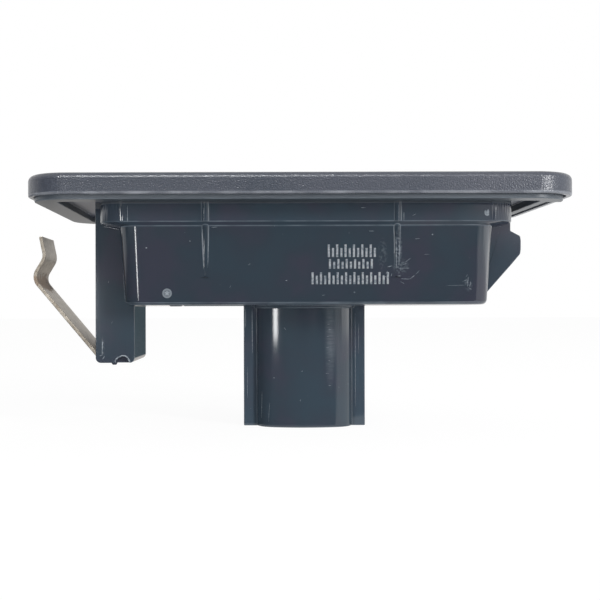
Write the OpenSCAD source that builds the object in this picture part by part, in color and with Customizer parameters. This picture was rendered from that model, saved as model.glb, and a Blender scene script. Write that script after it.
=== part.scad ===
// Number plate lamp with a snap-in rear housing, a spring clip and a two-pin socket.
// Millimetres. X runs along the lamp, Y from the front long side to the back, Z to the lens.
// The origin is the centre of the flange on the plane that seats against the body panel.

/* [Bezel] */
// Length of the bezel
bezel_l = 90; // [86:0.5:100]
// Width of the bezel
bezel_w = 48; // [46:0.5:60]
// Radius of the bezel corners seen from above
bezel_corner_r = 7; // [6:0.5:9]
// Height of the bezel side wall
bezel_h = 3.55; // [3.4:0.05:5]
// Rounding along the top edge of the bezel
bezel_edge_r = 1; // [0.5:0.1:1.5]
// Rounding along the lower edge of the bezel
bezel_foot_r = 0.3; // [0.1:0.05:0.5]
// Height of the bezel's lower edge above the seat plane
bezel_lift = 0.75; // [0.5:0.05:0.9]
// Thickness of the skirt that hides the flange
skirt_t = 0.9; // [0.6:0.05:1.2]
// Mean width of the frame at the two ends of the light window
frame_l = 16; // [15:0.5:20]
// Width of the frame along the two long sides of the light window
frame_w = 11.5; // [10:0.5:14]
// Radius of the window corners
window_r = 5; // [3:0.5:8]
// Width of the bevel around the window
window_bevel = 1.1; // [0.4:0.1:1.4]

/* [Flange] */
// Gap between the flange and the bezel skirt at the left end
flange_gap_left = 0.1; // [0.05:0.05:0.5]
// Gap between the flange and the bezel skirt at the catch end
flange_gap_right = 0.5; // [0.1:0.1:1]
// Gap between the flange and the bezel skirt along both long sides
flange_gap_side = 0.1; // [0.05:0.05:0.5]
// Height of the flange
flange_h = 2.4; // [2:0.1:2.6]
// Width of the rim that seats on the panel
rim_w = 3.9; // [3:0.1:4.5]
// Depth of the notch in the catch end of the flange, where the bezel is prised off
notch_d = 2.4; // [1:0.1:2.6]
// Distance from each long side of the flange to the notch
notch_in = 6.3; // [6:0.1:12]
// Depth of the recess inside the rim
recess_d = 1.2; // [0.6:0.1:1.4]
// Radius of the recess corners
recess_r = 1.2; // [0.6:0.1:5]

/* [Collar and box] */
// Mean distance from an end of the bezel to the collar
collar_in_l = 10.1; // [9.5:0.1:12]
// Distance from a long side of the bezel to the collar
collar_in_w = 6.6; // [5.5:0.1:7]
// Offset of the collar and box towards the catch end
body_x = 1.2; // [0:0.1:2]
// Radius of the collar corners
collar_r = 4.4; // [3:0.1:6]
// Depth of the collar below the seat plane
collar_d = 3.1; // [2.5:0.1:4]
// Height of the bevel between collar and box
ledge_h = 0.6; // [0.3:0.1:1]
// How far the collar stands out past each end of the box
box_step_l = 3.3; // [3:0.1:4]
// How far the collar stands out past each long side of the box
box_step_w = 0.9; // [0.4:0.1:1.2]
// Depth of the box below the seat plane
box_d = 17; // [15.5:0.1:20]
// Draft of each box side over its whole depth
box_draft = 0.8; // [0.2:0.1:1]
// Radius of the box corners
box_r = 3.3; // [2.5:0.1:4]
// Wall thickness of the box
wall = 1.8; // [1.5:0.1:2]
// Thickness of the box floor
floor_t = 2; // [1.5:0.1:3]
// Rounding of the box's lower edge
box_foot_r = 0.8; // [0.3:0.1:1.2]
// Inner corner radius of the box
cavity_r = 1.6; // [1:0.1:2.5]
// Distance from an end of the collar to the nearer guide rib
rib_in = 18.9; // [17:0.1:24]
// Place of the middle of the pair of ribs along the flange
rib_mid = 0.3; // [-1:0.1:1]
// Diameter of a half-round guide rib
rib_dia = 1.2; // [1:0.1:2]
// How far a guide rib stands out from the collar and from the top of the box
rib_proud = 0.35; // [0.2:0.05:0.45]
// Height above the bottom of the box where the guide ribs have run out into its wall
rib_up = 4.7; // [3:0.1:8]
// Place of the round ejector mark along the flange
mark_x = -20.9; // [-24:0.1:-16]
// Distance from the edge of the box to the middle of the ejector mark
mark_in = 2.4; // [2:0.1:6]
// Diameter of the ejector mark
mark_dia = 2.1; // [1.5:0.1:3]
// How far the ejector mark stands out below the box
mark_h = 0.2; // [0.1:0.05:0.4]

/* [Spring post] */
// Length of the post along the lamp
post_l = 6.8; // [6:0.1:8]
// Thickness of the cheek on each side of the clip's pocket
post_cheek = 3.75; // [3.4:0.05:5]
// How far the post stands out past the collar
post_out = 1.6; // [1.2:0.1:2.4]
// How far the post reaches below the box
post_reach = 10; // [8:0.1:13]
// Rounding of the post's lower corners
post_r = 0.9; // [0.6:0.1:2]
// Radius of the half-round gate notch at the foot of the post
gate_r = 1.25; // [0.8:0.05:1.5]
// Depth of the gate notch into the post
gate_d = 1.2; // [0.6:0.1:2]
// Distance from the inner side of the post to the gate notch
gate_in = 0.9; // [0.6:0.1:1.5]

/* [Catch] */
// Width of the catch across the lamp
catch_w = 12; // [8:0.5:16]
// How far the catch stem stands out past the collar
stem_out = 1.8; // [0.8:0.1:2]
// How far the catch nose stands out past its stem
nose_out = 1.85; // [1:0.05:2]
// Depth of the catch shoulder below the seat plane
shoulder_d = 3.9; // [3.7:0.1:4.5]
// Height of the catch nose
nose_h = 4.1; // [3.6:0.1:5]
// Height of the slope from the shoulder to the nose
nose_slope = 0.9; // [0.4:0.1:1.2]
// Height of each softened corner of the nose
nose_soft = 0.8; // [0.4:0.1:1]
// How far a softened corner of the nose is set back
nose_back = 0.12; // [0.05:0.01:0.3]
// Height of the ramp below the nose
nose_lead = 1.9; // [1:0.1:2.5]
// Height of the catch's lower end above the bottom of the box
catch_up = 0.3; // [0.1:0.1:1.5]

/* [Connector] */
// Offset of the connector from the middle of the flange
socket_x = 1.5; // [-2:0.05:4]
// Half length of the oval socket
socket_a = 8.7; // [8.4:0.1:10]
// Half width of the oval socket
socket_b = 4.7; // [4.6:0.1:5.5]
// Radius of the socket's two ends
socket_end_r = 4; // [3:0.1:4.4]
// Wall thickness of the socket
socket_wall = 1.3; // [1:0.1:1.5]
// Length of the socket below the box
socket_h = 21.9; // [18:0.1:27]
// Thickness of the socket's closed end below the box
socket_web = 2.9; // [2:0.1:4]
// How far each flat wing stands out past the oval
wing_out = 2.35; // [1:0.05:3]
// Thickness of a wing
wing_t = 1.6; // [1.2:0.1:2.4]
// How far the plinth at the root stands out from the oval
plinth_out = 0.45; // [0.2:0.05:0.8]
// Height of the plinth
plinth_h = 0.4; // [0.2:0.05:0.8]

/* [Terminals] */
// Distance between the two terminals
pin_pitch = 5; // [4:0.1:6]
// Width of a terminal
pin_w = 1.5; // [1:0.1:2]
// Thickness of a terminal
pin_t = 0.8; // [0.5:0.1:1]
// Height of the socket mouth below the terminal tips
pin_setback = 6; // [4.5:0.1:8]
// How far a terminal stands out above the circuit board
pin_stub = 1.2; // [0.6:0.1:2]
// Length of a terminal's tapered tip
pin_point = 1; // [0.5:0.1:1.5]

/* [Spring clip] */
// Width of the spring steel strip
clip_w = 10.1; // [9:0.1:13]
// Thickness of the strip
clip_t = 0.6; // [0.4:0.05:0.8]
// Radius of the bend at the foot, on the middle of the strip
clip_foot_r = 0.7; // [0.6:0.05:1]
// Radius of the other bends, on the middle of the strip
clip_bend_r = 2.2; // [1:0.1:2.6]
// Length of the leg inside the post
clip_inner_leg = 15; // [12:0.5:17]
// Length of the long outer leg
clip_outer_leg = 17; // [12:0.1:18.5]
// Length between the nose bend and the shoulder bend
clip_nose_leg = 1.9; // [1:0.1:3]
// Length of the free tip
clip_tip_leg = 2.9; // [1.5:0.05:4]
// Angle of the outer leg from upright
clip_lean = 40; // [30:0.5:42]
// Angle of the short leg back from upright
clip_return = 31; // [15:0.5:35]
// Angle of the tip out from upright
clip_tip_lean = 11.5; // [5:0.5:25]
// Distance of the foot bend's middle from the post's outer face
clip_inset = 0.6; // [0.4:0.05:1]
// Height of the foot bend above the end of the post
clip_rise = 0.2; // [0.1:0.05:0.6]
// Width of the window that snaps over the locking wedge
lock_w = 4; // [3:0.1:5]
// Height of the locking window
lock_h = 3; // [2:0.1:4]
// Distance from the end of the leg to the middle of the locking window
lock_in = 4; // [3:0.1:6]
// How far the locking wedge stands out past the strip
lock_proud = 0.5; // [0.2:0.1:0.8]

/* [Lens] */
// Thickness of the lens flange
lens_t = 1.2; // [1:0.1:1.4]
// How far the lens flange reaches past the window
lens_lip = 3; // [2:0.1:3.4]
// How far the lens face lies below the bezel's top
lens_drop = 0.4; // [0.1:0.1:1]
// Number of light-spreading flutes inside the lens
flutes = 18; // [8:1:24]
// Height of a flute
flute_h = 0.4; // [0.2:0.05:0.5]
// Distance from each end of the flutes to the edge of the window
flute_in = 2; // [1:0.1:4]
// Thickness of the lens seal
seal_t = 0.6; // [0.4:0.05:0.8]
// Width of the lens seal
seal_w = 1.3; // [1:0.1:1.4]

/* [Circuit board] */
// Gap from each end of the board to the box
board_gap_l = 1; // [0.8:0.1:3]
// Gap from each long side of the board to the box
board_gap_w = 0.9; // [0.8:0.1:2.5]
// Radius of the board and reflector corners
board_r = 1.2; // [0.6:0.1:2]
// Thickness of the circuit board
board_t = 1.2; // [0.8:0.1:1.6]
// Height of the board's underside above the floor of the box
board_rise = 6.4; // [6:0.1:7]
// Side of the corner blocks under the board
block = 3.1; // [2:0.1:4]
// Distance from an end of the board to its screw
screw_in = 4; // [3.5:0.1:5]
// Diameter of a screw boss
boss_dia = 4.6; // [4:0.1:6]
// Diameter of a screw shank
screw_dia = 1.9; // [1.6:0.1:2.2]
// Length of a screw below its head
screw_len = 5; // [4:0.5:6]
// Diameter of a screw head
head_dia = 3.6; // [3.2:0.1:4]
// Height of a screw head
head_h = 1.3; // [1:0.1:1.6]
// Length of the cross cut in a screw head
drive_l = 2; // [1.5:0.1:2.5]
// Width of the cross cut
drive_w = 0.5; // [0.3:0.1:0.8]
// Depth of the cross cut
drive_d = 0.6; // [0.3:0.1:0.8]

/* [Parts on the board] */
// Distance from an end of the board to the outer light-emitting diode
led_in = 10; // [9:0.5:13]
// Gap between a terminal and the light-emitting diode beside it
led_clear = 0.7; // [0.5:0.1:2]
// Length of a light-emitting diode
led_l = 3.5; // [3:0.1:4]
// Width of a light-emitting diode
led_w = 2.8; // [2.4:0.1:3.2]
// Height of a light-emitting diode
led_h = 0.8; // [0.6:0.05:1.2]
// Depth of its round cup
led_cup = 0.15; // [0.1:0.05:0.3]
// Width of the rim around the cup
led_rim = 0.25; // [0.1:0.05:0.5]
// Distance from a long side of the board to the row of resistors
row_in = 5.5; // [4.5:0.1:7]
// Length of a chip resistor
chip_l = 3.2; // [2:0.1:3.6]
// Width of a chip resistor
chip_w = 1.6; // [1.2:0.1:2]
// Height of a chip resistor
chip_h = 0.6; // [0.4:0.1:0.8]
// Length of a resistor's end cap
chip_cap = 0.5; // [0.3:0.1:0.8]
// How far an end cap stands out from the resistor's body
chip_step = 0.1; // [0.05:0.05:0.2]
// Length of the moulded diode
diode_l = 4.2; // [3:0.1:5]
// Width of the moulded diode
diode_w = 2.6; // [2:0.1:3]
// Height of the moulded diode
diode_h = 2.2; // [1.6:0.1:2.4]
// Height of its body above the board
diode_lift = 0.3; // [0.1:0.1:0.5]
// Width of a foot of the diode
foot_w = 1.5; // [1:0.1:2]
// Length of a foot of the diode, which is also half of how far it stands out
foot_l = 0.8; // [0.4:0.1:1.2]
// Height of a foot of the diode
foot_h = 1; // [0.6:0.1:1.2]
// Diameter of the can capacitor
can_dia = 5; // [4:0.1:5]
// Height of the can capacitor
can_h = 5.4; // [4:0.1:5.5]
// Side of the capacitor's square foot
can_foot = 5.3; // [5.1:0.1:5.5]
// Height of the square foot
can_foot_h = 1; // [0.6:0.1:1.4]

/* [Reflector] */
// Wall thickness of the reflector at its foot
reflector_wall = 1.6; // [1.2:0.1:2]
// Wall thickness of the reflector at its top
reflector_top = 0.8; // [0.6:0.1:1]
// Thickness of the reflector's upper rim
reflector_rim = 1; // [0.6:0.1:1.4]

/* [Clearances] */
// Clearance around a piece that drops into another
fit = 0.2; // [0.1:0.05:0.3]
// Gap kept between faces that must not touch
air = 0.3; // [0.2:0.05:0.5]

/* [Hidden] */
$fn = 64;

// Small overlap that makes neighbouring forms of one piece run into each other
eps = 0.02;
// Length by which a cut runs out of the piece
over = 1;
// Number of steps in which each bend of the clip is drawn
bend_steps = 12;
// Degrees between neighbouring points of the socket's oval
oval_step = 3;

bezel_top = bezel_lift + bezel_h;
window_l = bezel_l - 2 * frame_l;
window_w = bezel_w - 2 * frame_w;
flange_left = -(bezel_l / 2 - skirt_t - flange_gap_left);
flange_right = bezel_l / 2 - skirt_t - flange_gap_right;
flange_w = bezel_w - 2 * (skirt_t + flange_gap_side);
flange_r = bezel_corner_r - skirt_t;
recess_left = flange_left + rim_w;
recess_right = flange_right - rim_w;
recess_w = flange_w - 2 * rim_w;

collar_l = bezel_l - 2 * collar_in_l;
collar_w = bezel_w - 2 * collar_in_w;
collar_left = body_x - collar_l / 2;
collar_right = body_x + collar_l / 2;
box_l = collar_l - 2 * box_step_l;
box_w = collar_w - 2 * box_step_w;
cavity_l = box_l - 2 * (wall + box_draft);
cavity_w = box_w - 2 * (wall + box_draft);
floor_z = -box_d + floor_t;
rib_x = collar_l / 2 - rib_in;
rib_end_d = box_d - rib_up;
ledge_d = collar_d + ledge_h;
socket_d = box_d + socket_h;

lens_l = window_l + 2 * lens_lip - 2 * fit;
lens_w = window_w + 2 * lens_lip - 2 * fit;
lens_r = window_r + lens_lip - fit;
lens_z = flange_h - lens_t;
seal_z = lens_z - seal_t;
seat_l = lens_l + 2 * fit;
seat_w = lens_w + 2 * fit;

board_l = cavity_l - 2 * board_gap_l;
board_w = cavity_w - 2 * board_gap_w;
board_z = floor_z + board_rise;
board_top = board_z + board_t;
screw_x = board_l / 2 - screw_in;
led_outer = board_l / 2 - led_in;
led_inner = abs(socket_x - body_x) + (pin_pitch + pin_w + led_l) / 2 + led_clear;
row_y = board_w / 2 - row_in;
reflector_z = lens_z - flute_h - air;

post_left = collar_left - post_out;
post_right = post_left + post_l;
post_d = box_d + post_reach;
pocket_w = clip_w + 2 * fit;
post_w = pocket_w + 2 * post_cheek;
clip_back_x = post_left + clip_inset + clip_foot_r + clip_t / 2;
clip_foot_z = -post_d + clip_foot_r + clip_t / 2 + clip_rise;
lock_z = clip_foot_z + clip_inner_leg - lock_in;

// Flat rounded rectangle
module rounded_rect(l, w, r) {
    square([l - 2 * r, w], center = true);
    square([l, w - 2 * r], center = true);
    for (sx = [-1, 1], sy = [-1, 1])
        translate([sx * (l / 2 - r), sy * (w / 2 - r)]) circle(r);
}

// Upright rounded block with its underside at z
module rounded_block(l, w, r, z, h) {
    translate([0, 0, z]) linear_extrude(h) rounded_rect(l, w, r);
}

// Carries an edge profile round a rounded rectangle, profile x running outwards
module around(l, w, r) {
    for (k = [0 : 3]) {
        along = k % 2 == 0 ? w - 2 * r : l - 2 * r;
        out = k % 2 == 0 ? l / 2 : w / 2;
        rotate(90 * k) translate([out, along / 2, 0])
            rotate([90, 0, 0]) linear_extrude(along) children();
        rotate(90 * k) translate([out - r, along / 2, 0])
            rotate_extrude(angle = 90) translate([r, 0]) children();
    }
}

// Point where an oval of four smooth arcs faces the angle t
function oval_point(t, a, b, end_r) =
    let (c = a - end_r, k = (c * c - pow(b - end_r, 2)) / (2 * (b - end_r)), big_r = b + k)
    abs(cos(t)) > c / (big_r - end_r)
        ? [sign(cos(t)) * c + end_r * cos(t), end_r * sin(t)]
        : [big_r * cos(t), big_r * sin(t) - sign(sin(t)) * k];

// Flat oval with half length a and half width b
module oval(a, b, end_r) {
    polygon([for (t = [0 : oval_step : 359]) oval_point(t, a, b, end_r)]);
}

// Flange with a seating rim, the recess inside it and the notch at the catch end
module flange() {
    l = flange_right - flange_left;
    cx = (flange_right + flange_left) / 2;
    rl = recess_right - recess_left;
    rcx = (recess_right + recess_left) / 2;
    difference() {
        translate([cx, 0, 0]) rounded_block(l, flange_w, flange_r, 0, flange_h);
        translate([rcx, 0, 0]) rounded_block(rl, recess_w, recess_r, -over, recess_d + over);
        translate([flange_right - notch_d, -flange_w / 2 + notch_in, -over])
            cube([notch_d + over, flange_w - 2 * notch_in, flange_h + 2 * over]);
    }
}

// Collar, and the bevel that leads into the box
module collar() {
    translate([body_x, 0, 0]) rounded_block(collar_l, collar_w, collar_r, -collar_d, collar_d + flange_h);
    hull() translate([body_x, 0, 0]) {
        rounded_block(collar_l, collar_w, collar_r, -collar_d, eps);
        rounded_block(box_l, box_w, box_r, -ledge_d, eps);
    }
}

// Drafted outer form of the box
module box() {
    drop = 2 * box_draft;
    hull() translate([body_x, 0, 0]) {
        rounded_block(box_l, box_w, box_r, -ledge_d, eps);
        for (a = [0 : 30 : 90]) {
            pull = drop + 2 * box_foot_r * (1 - cos(a));
            lift = box_foot_r * (1 - sin(a));
            rounded_block(box_l - pull, box_w - pull, box_r - pull / 4, -box_d + lift, eps);
        }
    }
}

// Round mark that an ejector leaves under the box
module ejector_mark() {
    translate([mark_x, -box_w / 2 + box_draft + mark_in, -box_d - mark_h])
        cylinder(d = mark_dia, h = mark_h + over);
}

// Half-round guide ribs on both long walls, which run out into the drafted wall of the box
module guide_ribs() {
    r = rib_dia / 2;
    collar_y = collar_w / 2 + rib_proud - r;
    top_y = box_w / 2 + rib_proud - r;
    end_y = box_w / 2 - box_draft * (rib_end_d - ledge_d) / (box_d - ledge_d) - r;
    run = rib_end_d - collar_d;
    lean = atan((top_y - end_y) / run);
    for (sx = [-1, 1], side = [0, 180])
        translate([rib_mid + sx * rib_x, 0, 0]) rotate(side) {
            translate([0, -collar_y, -collar_d]) cylinder(r = r, h = collar_d + recess_d);
            translate([0, -end_y, -rib_end_d]) rotate([lean, 0, 0]) cylinder(r = r, h = run / cos(lean));
        }
}

// Side outline of the post, x along the lamp and y upwards
module post_outline() {
    translate([post_left, -post_d + post_r]) square([post_l, post_d - post_r + recess_d]);
    translate([post_left + post_r, -post_d]) square([post_l - 2 * post_r, post_r + eps]);
    for (x = [post_left + post_r, post_right - post_r])
        translate([x, -post_d + post_r]) circle(post_r);
}

// Post that carries the spring clip, with its open pocket and the gate notch
module post() {
    difference() {
        translate([0, post_w / 2, 0]) rotate([90, 0, 0]) linear_extrude(post_w) post_outline();
        translate([post_left - over, -pocket_w / 2, -post_d - over])
            cube([clip_back_x - post_left + over, pocket_w, post_d + over - collar_d]);
        translate([post_right - gate_in - gate_r, -post_w / 2 + gate_d, -post_d])
            rotate([90, 0, 0]) cylinder(r = gate_r, h = gate_d + over);
    }
    locking_wedge();
}

// Wedge that locks the clip's window
module locking_wedge() {
    w = lock_w - 2 * fit;
    h = lock_h - 2 * fit;
    translate([clip_back_x, w / 2, lock_z]) rotate([90, 0, 0]) linear_extrude(w)
        polygon([[eps, -h / 2], [-clip_t - lock_proud, h / 2], [eps, h / 2]]);
}

// Snap catch at the other end
module catch() {
    inner = body_x + box_l / 2 - box_draft - wall / 2;
    stem = collar_right + stem_out;
    nose = stem + nose_out;
    foot = -box_d + catch_up;
    translate([0, catch_w / 2, 0]) rotate([90, 0, 0]) linear_extrude(catch_w)
        polygon([
            [inner, recess_d], [stem, recess_d], [stem, -shoulder_d],
            [nose - nose_back, -shoulder_d - nose_slope],
            [nose, -shoulder_d - nose_slope - nose_soft],
            [nose, -shoulder_d - nose_h + nose_soft],
            [nose - nose_back, -shoulder_d - nose_h],
            [stem + nose_back, -shoulder_d - nose_h - nose_lead],
            [inner + wall / 2, foot], [inner, foot]
        ]);
}

// Oval socket with its plinth and flat wings
module socket() {
    translate([socket_x, 0, -socket_d]) {
        linear_extrude(socket_h + eps) oval(socket_a, socket_b, socket_end_r);
        translate([-socket_a - wing_out, -wing_t / 2, 0])
            cube([2 * (socket_a + wing_out), wing_t, socket_h + eps]);
        translate([0, 0, socket_h - plinth_h]) linear_extrude(plinth_h + eps)
            oval(socket_a + plinth_out, socket_b + plinth_out, socket_end_r + plinth_out);
    }
}

// Hollow that takes the mating plug
module socket_cavity() {
    translate([socket_x, 0, -socket_d - over]) linear_extrude(socket_h - socket_web + over)
        oval(socket_a - socket_wall, socket_b - socket_wall, socket_end_r - socket_wall);
}

// Slots that the terminals pass through
module terminal_slots() {
    for (s = [-1, 1])
        translate([socket_x + s * pin_pitch / 2 - pin_w / 2, -pin_t / 2, -box_d - socket_web - over])
            cube([pin_w, pin_t, socket_web + floor_t + 2 * over]);
}

// Bosses and corner blocks that hold the circuit board
module board_supports() {
    for (s = [-1, 1])
        translate([body_x + s * screw_x, 0, floor_z - eps]) cylinder(d = boss_dia, h = board_rise + eps);
    x = (cavity_l - block) / 2;
    y = (cavity_w - block) / 2;
    for (sx = [-1, 1], sy = [-1, 1])
        translate([body_x + sx * x, sy * y, floor_z + board_rise / 2])
            cube([block + eps, block + eps, board_rise], center = true);
}

// Rear housing in one moulding
module housing() {
    color("#2E3640") difference() {
        union() {
            difference() {
                union() {
                    flange();
                    collar();
                    box();
                    ejector_mark();
                    guide_ribs();
                    catch();
                    post();
                    socket();
                }
                translate([body_x, 0, 0])
                    rounded_block(cavity_l, cavity_w, cavity_r, floor_z, box_d + flange_h);
            }
            board_supports();
        }
        translate([body_x, 0, 0]) rounded_block(seat_l, seat_w, lens_r + fit, seal_z, flange_h);
        socket_cavity();
        terminal_slots();
        for (s = [-1, 1])
            translate([body_x + s * screw_x, 0, board_z - screw_len])
                cylinder(d = screw_dia + fit / 2, h = screw_len + over);
    }
}

// Bezel with a rounded top edge, a bevelled window and a pocket for the flange
module bezel() {
    inner_l = bezel_l - 2 * bezel_corner_r;
    inner_w = bezel_w - 2 * bezel_corner_r;
    color("#4A4F59") difference() {
        union() {
            translate([0, 0, bezel_lift + bezel_h / 2])
                cube([inner_l + eps, inner_w + eps, bezel_h], center = true);
            around(bezel_l, bezel_w, bezel_corner_r) bezel_edge();
        }
        rounded_block(bezel_l - 2 * skirt_t, bezel_w - 2 * skirt_t, flange_r,
            -over, flange_h + over);
        translate([body_x, 0, 0]) rounded_block(window_l, window_w, window_r, 0, bezel_top + over);
        translate([body_x, 0, bezel_top]) around(window_l, window_w, window_r) window_edge();
    }
}

// Section of the bezel's edge, from its outer side inwards
module bezel_edge() {
    translate([-bezel_corner_r, bezel_lift + bezel_foot_r])
        square([bezel_corner_r, bezel_h - bezel_edge_r - bezel_foot_r]);
    translate([-bezel_corner_r, bezel_lift]) square([bezel_corner_r - bezel_edge_r, bezel_h]);
    translate([-bezel_corner_r, bezel_lift]) square([bezel_corner_r - bezel_foot_r, 2 * bezel_foot_r]);
    translate([-bezel_edge_r, bezel_top - bezel_edge_r]) circle(bezel_edge_r);
    translate([-bezel_foot_r, bezel_lift + bezel_foot_r]) circle(bezel_foot_r);
}

// Section of the bevel that is cut around the window
module window_edge() {
    w = window_bevel;
    polygon([[-over, -w], [0, -w], [w, 0], [w, over], [-over, over]]);
}

// Clear lens with a raised face and flutes on its inner side
module lens() {
    face_l = window_l - 2 * fit;
    face_w = window_w - 2 * fit;
    flute_w = face_w - 2 * flute_in;
    pitch = face_l / flutes;
    flute_r = (pitch * pitch / 4 + flute_h * flute_h) / (2 * flute_h);
    color("#DDE6EC") translate([body_x, 0, 0]) {
        rounded_block(lens_l, lens_w, lens_r, lens_z, lens_t);
        rounded_block(face_l, face_w, window_r - fit, lens_z, bezel_top - lens_drop - lens_z);
        for (i = [0 : flutes - 1])
            translate([(i - (flutes - 1) / 2) * pitch, 0, lens_z]) intersection() {
                translate([0, flute_w / 2, flute_r - flute_h])
                    rotate([90, 0, 0]) cylinder(r = flute_r, h = flute_w);
                cube([pitch, face_w, 2 * (flute_h + eps)], center = true);
            }
    }
}

// Rubber seal under the lens flange
module lens_seal() {
    color("#202020") translate([body_x, 0, 0]) difference() {
        rounded_block(lens_l, lens_w, lens_r, seal_z, seal_t);
        rounded_block(lens_l - 2 * seal_w, lens_w - 2 * seal_w, lens_r - seal_w,
            seal_z - over, seal_t + 2 * over);
    }
}

// White frame that surrounds the lights
module reflector() {
    h = reflector_z - board_top;
    color("#F2F2EE") translate([body_x, 0, board_top]) difference() {
        union() {
            rounded_block(board_l, board_w, board_r, 0, h);
            rounded_block(cavity_l - 2 * air, cavity_w - 2 * air, cavity_r,
                h - reflector_rim, reflector_rim);
        }
        hull() {
            rounded_block(board_l - 2 * reflector_wall, board_w - 2 * reflector_wall, board_r, -over, eps);
            rounded_block(board_l - 2 * reflector_top, board_w - 2 * reflector_top, board_r, h + over, eps);
        }
    }
}

// Circuit board with holes for the screws and terminals
module circuit_board() {
    color("#E9ECE6") difference() {
        translate([body_x, 0, 0]) rounded_block(board_l, board_w, board_r, board_z, board_t);
        for (s = [-1, 1]) {
            translate([body_x + s * screw_x, 0, board_z - over])
                cylinder(d = screw_dia + 2 * fit, h = board_t + 2 * over);
            translate([socket_x + s * pin_pitch / 2, 0, board_z])
                cube([pin_w + fit, pin_t + fit, 3 * board_t], center = true);
        }
    }
}

// One light-emitting diode with its round cup
module led() {
    difference() {
        translate([0, 0, led_h / 2]) cube([led_l, led_w, led_h], center = true);
        translate([0, 0, led_h - led_cup]) cylinder(d = led_w - 2 * led_rim, h = over);
    }
}

// Light-emitting diode number i, counted from the left
module led_at(i) {
    x = i == 1 || i == 4 ? led_outer : led_inner;
    color("#F4E7A0") translate([body_x + sign(i - 2.5) * x, 0, board_top]) led();
}

// Chip resistor with two end caps
module resistor() {
    h = chip_h - chip_step;
    translate([0, 0, h / 2]) cube([chip_l - chip_cap, chip_w - chip_step, h], center = true);
    for (s = [-1, 1])
        translate([s * (chip_l - chip_cap) / 2, 0, chip_h / 2])
            cube([chip_cap, chip_w, chip_h], center = true);
}

// Resistor number i, two in each row, halfway between the lights
module resistor_at(i) {
    side = i < 3 ? -1 : 1;
    turn = i % 2 == 0 ? 1 : -1;
    x = turn * (led_inner + led_outer) / 2;
    color("#2B2B2B") translate([body_x + x, side * row_y, board_top]) resistor();
}

// Moulded diode with two bent feet
module diode() {
    h = diode_h - diode_lift;
    color("#262626") translate([body_x, row_y, board_top]) {
        translate([0, 0, diode_lift + h / 2]) cube([diode_l, diode_w, h], center = true);
        for (s = [-1, 1])
            translate([s * diode_l / 2, 0, foot_h / 2]) cube([foot_l, foot_w, foot_h], center = true);
    }
}

// Can capacitor on its square foot
module capacitor() {
    color("#C9CCD1") translate([body_x, -row_y, board_top]) {
        translate([0, 0, can_foot_h / 2]) cube([can_foot, can_foot, can_foot_h], center = true);
        translate([0, 0, can_foot_h - eps]) cylinder(d = can_dia, h = can_h - can_foot_h + eps);
    }
}

// Terminal that runs from the board down into the socket
module terminal(s) {
    tip = -socket_d + pin_setback;
    top = board_top + pin_stub;
    color("#C8A45A") translate([socket_x + s * pin_pitch / 2, 0, tip + pin_point]) {
        translate([-pin_w / 2, -pin_t / 2, 0]) cube([pin_w, pin_t, top - tip - pin_point]);
        translate([0, pin_t / 2, 0]) rotate([90, 0, 0]) linear_extrude(pin_t)
            polygon([[-pin_w / 2, 0], [-pin_w / 4, -pin_point], [pin_w / 4, -pin_point], [pin_w / 2, 0]]);
    }
}

// Pan-head screws that hold the board on its bosses
module board_screws() {
    color("#B9BCC0") for (s = [-1, 1])
        translate([body_x + s * screw_x, 0, board_top]) difference() {
            union() {
                cylinder(d = head_dia, h = head_h);
                translate([0, 0, -screw_len + board_t])
                    cylinder(d = screw_dia, h = screw_len - board_t + eps);
            }
            for (a = [0, 90])
                rotate(a) translate([0, 0, head_h]) cube([drive_l, drive_w, 2 * drive_d], center = true);
        }
}

// Unit vector to the right of someone who walks the strip; heading 0 is up, 90 is towards +X
function right_of(heading) = [cos(heading), -sin(heading)];

// Points along a bend, each with its heading; a positive turn is to the right
function bend(at, heading, turn, r) =
    let (side = turn < 0 ? -1 : 1, centre = at + side * r * right_of(heading))
    [for (k = [0 : bend_steps])
        let (h = heading + turn * k / bend_steps)
        [centre - side * r * right_of(h), h]];

// Points along the whole strip; each step is a leg's length, then a turn and its radius
function walk(steps, at, heading, i = 0) =
    let (end = at + steps[i][0] * [sin(heading), cos(heading)])
    i == len(steps) - 1
        ? [[end, heading]]
        : let (curve = bend(end, heading, steps[i][1], steps[i][2]))
        concat(curve, walk(steps, curve[bend_steps][0], heading + steps[i][1], i + 1));

// Folded steel strip, from the leg in the post round to the free tip
module spring_clip() {
    start = [clip_back_x - clip_t / 2, clip_foot_z + clip_inner_leg];
    strip = concat([[start, 180]], walk([
        [clip_inner_leg, 180 - clip_lean, clip_foot_r],
        [clip_outer_leg, clip_lean + clip_return, clip_bend_r],
        [clip_nose_leg, -clip_return - clip_tip_lean, clip_bend_r],
        [clip_tip_leg, 0, 0]
    ], start, 180));
    last = len(strip) - 1;
    color("#96918A") difference() {
        translate([0, clip_w / 2, 0]) rotate([90, 0, 0]) linear_extrude(clip_w) polygon(concat(
            [for (k = [0 : last]) strip[k][0] + clip_t / 2 * right_of(strip[k][1])],
            [for (k = [last : -1 : 0]) strip[k][0] - clip_t / 2 * right_of(strip[k][1])]
        ));
        translate([clip_back_x - clip_t / 2, 0, lock_z]) cube([2 * clip_t, lock_w, lock_h], center = true);
    }
}

housing();
bezel();
lens();
lens_seal();
reflector();
circuit_board();
led_at(1);  // led_1
led_at(2);  // led_2
led_at(3);  // led_3
led_at(4);  // led_4
resistor_at(1);  // resistor_1
resistor_at(2);  // resistor_2
resistor_at(3);  // resistor_3
resistor_at(4);  // resistor_4
diode();
capacitor();
terminal(-1);  // terminal_1
terminal(1);  // terminal_2
board_screws();
spring_clip();
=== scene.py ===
import math

import bmesh
import bpy
from mathutils import Matrix, Vector, noise
from mathutils.bvhtree import BVHTree


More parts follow.
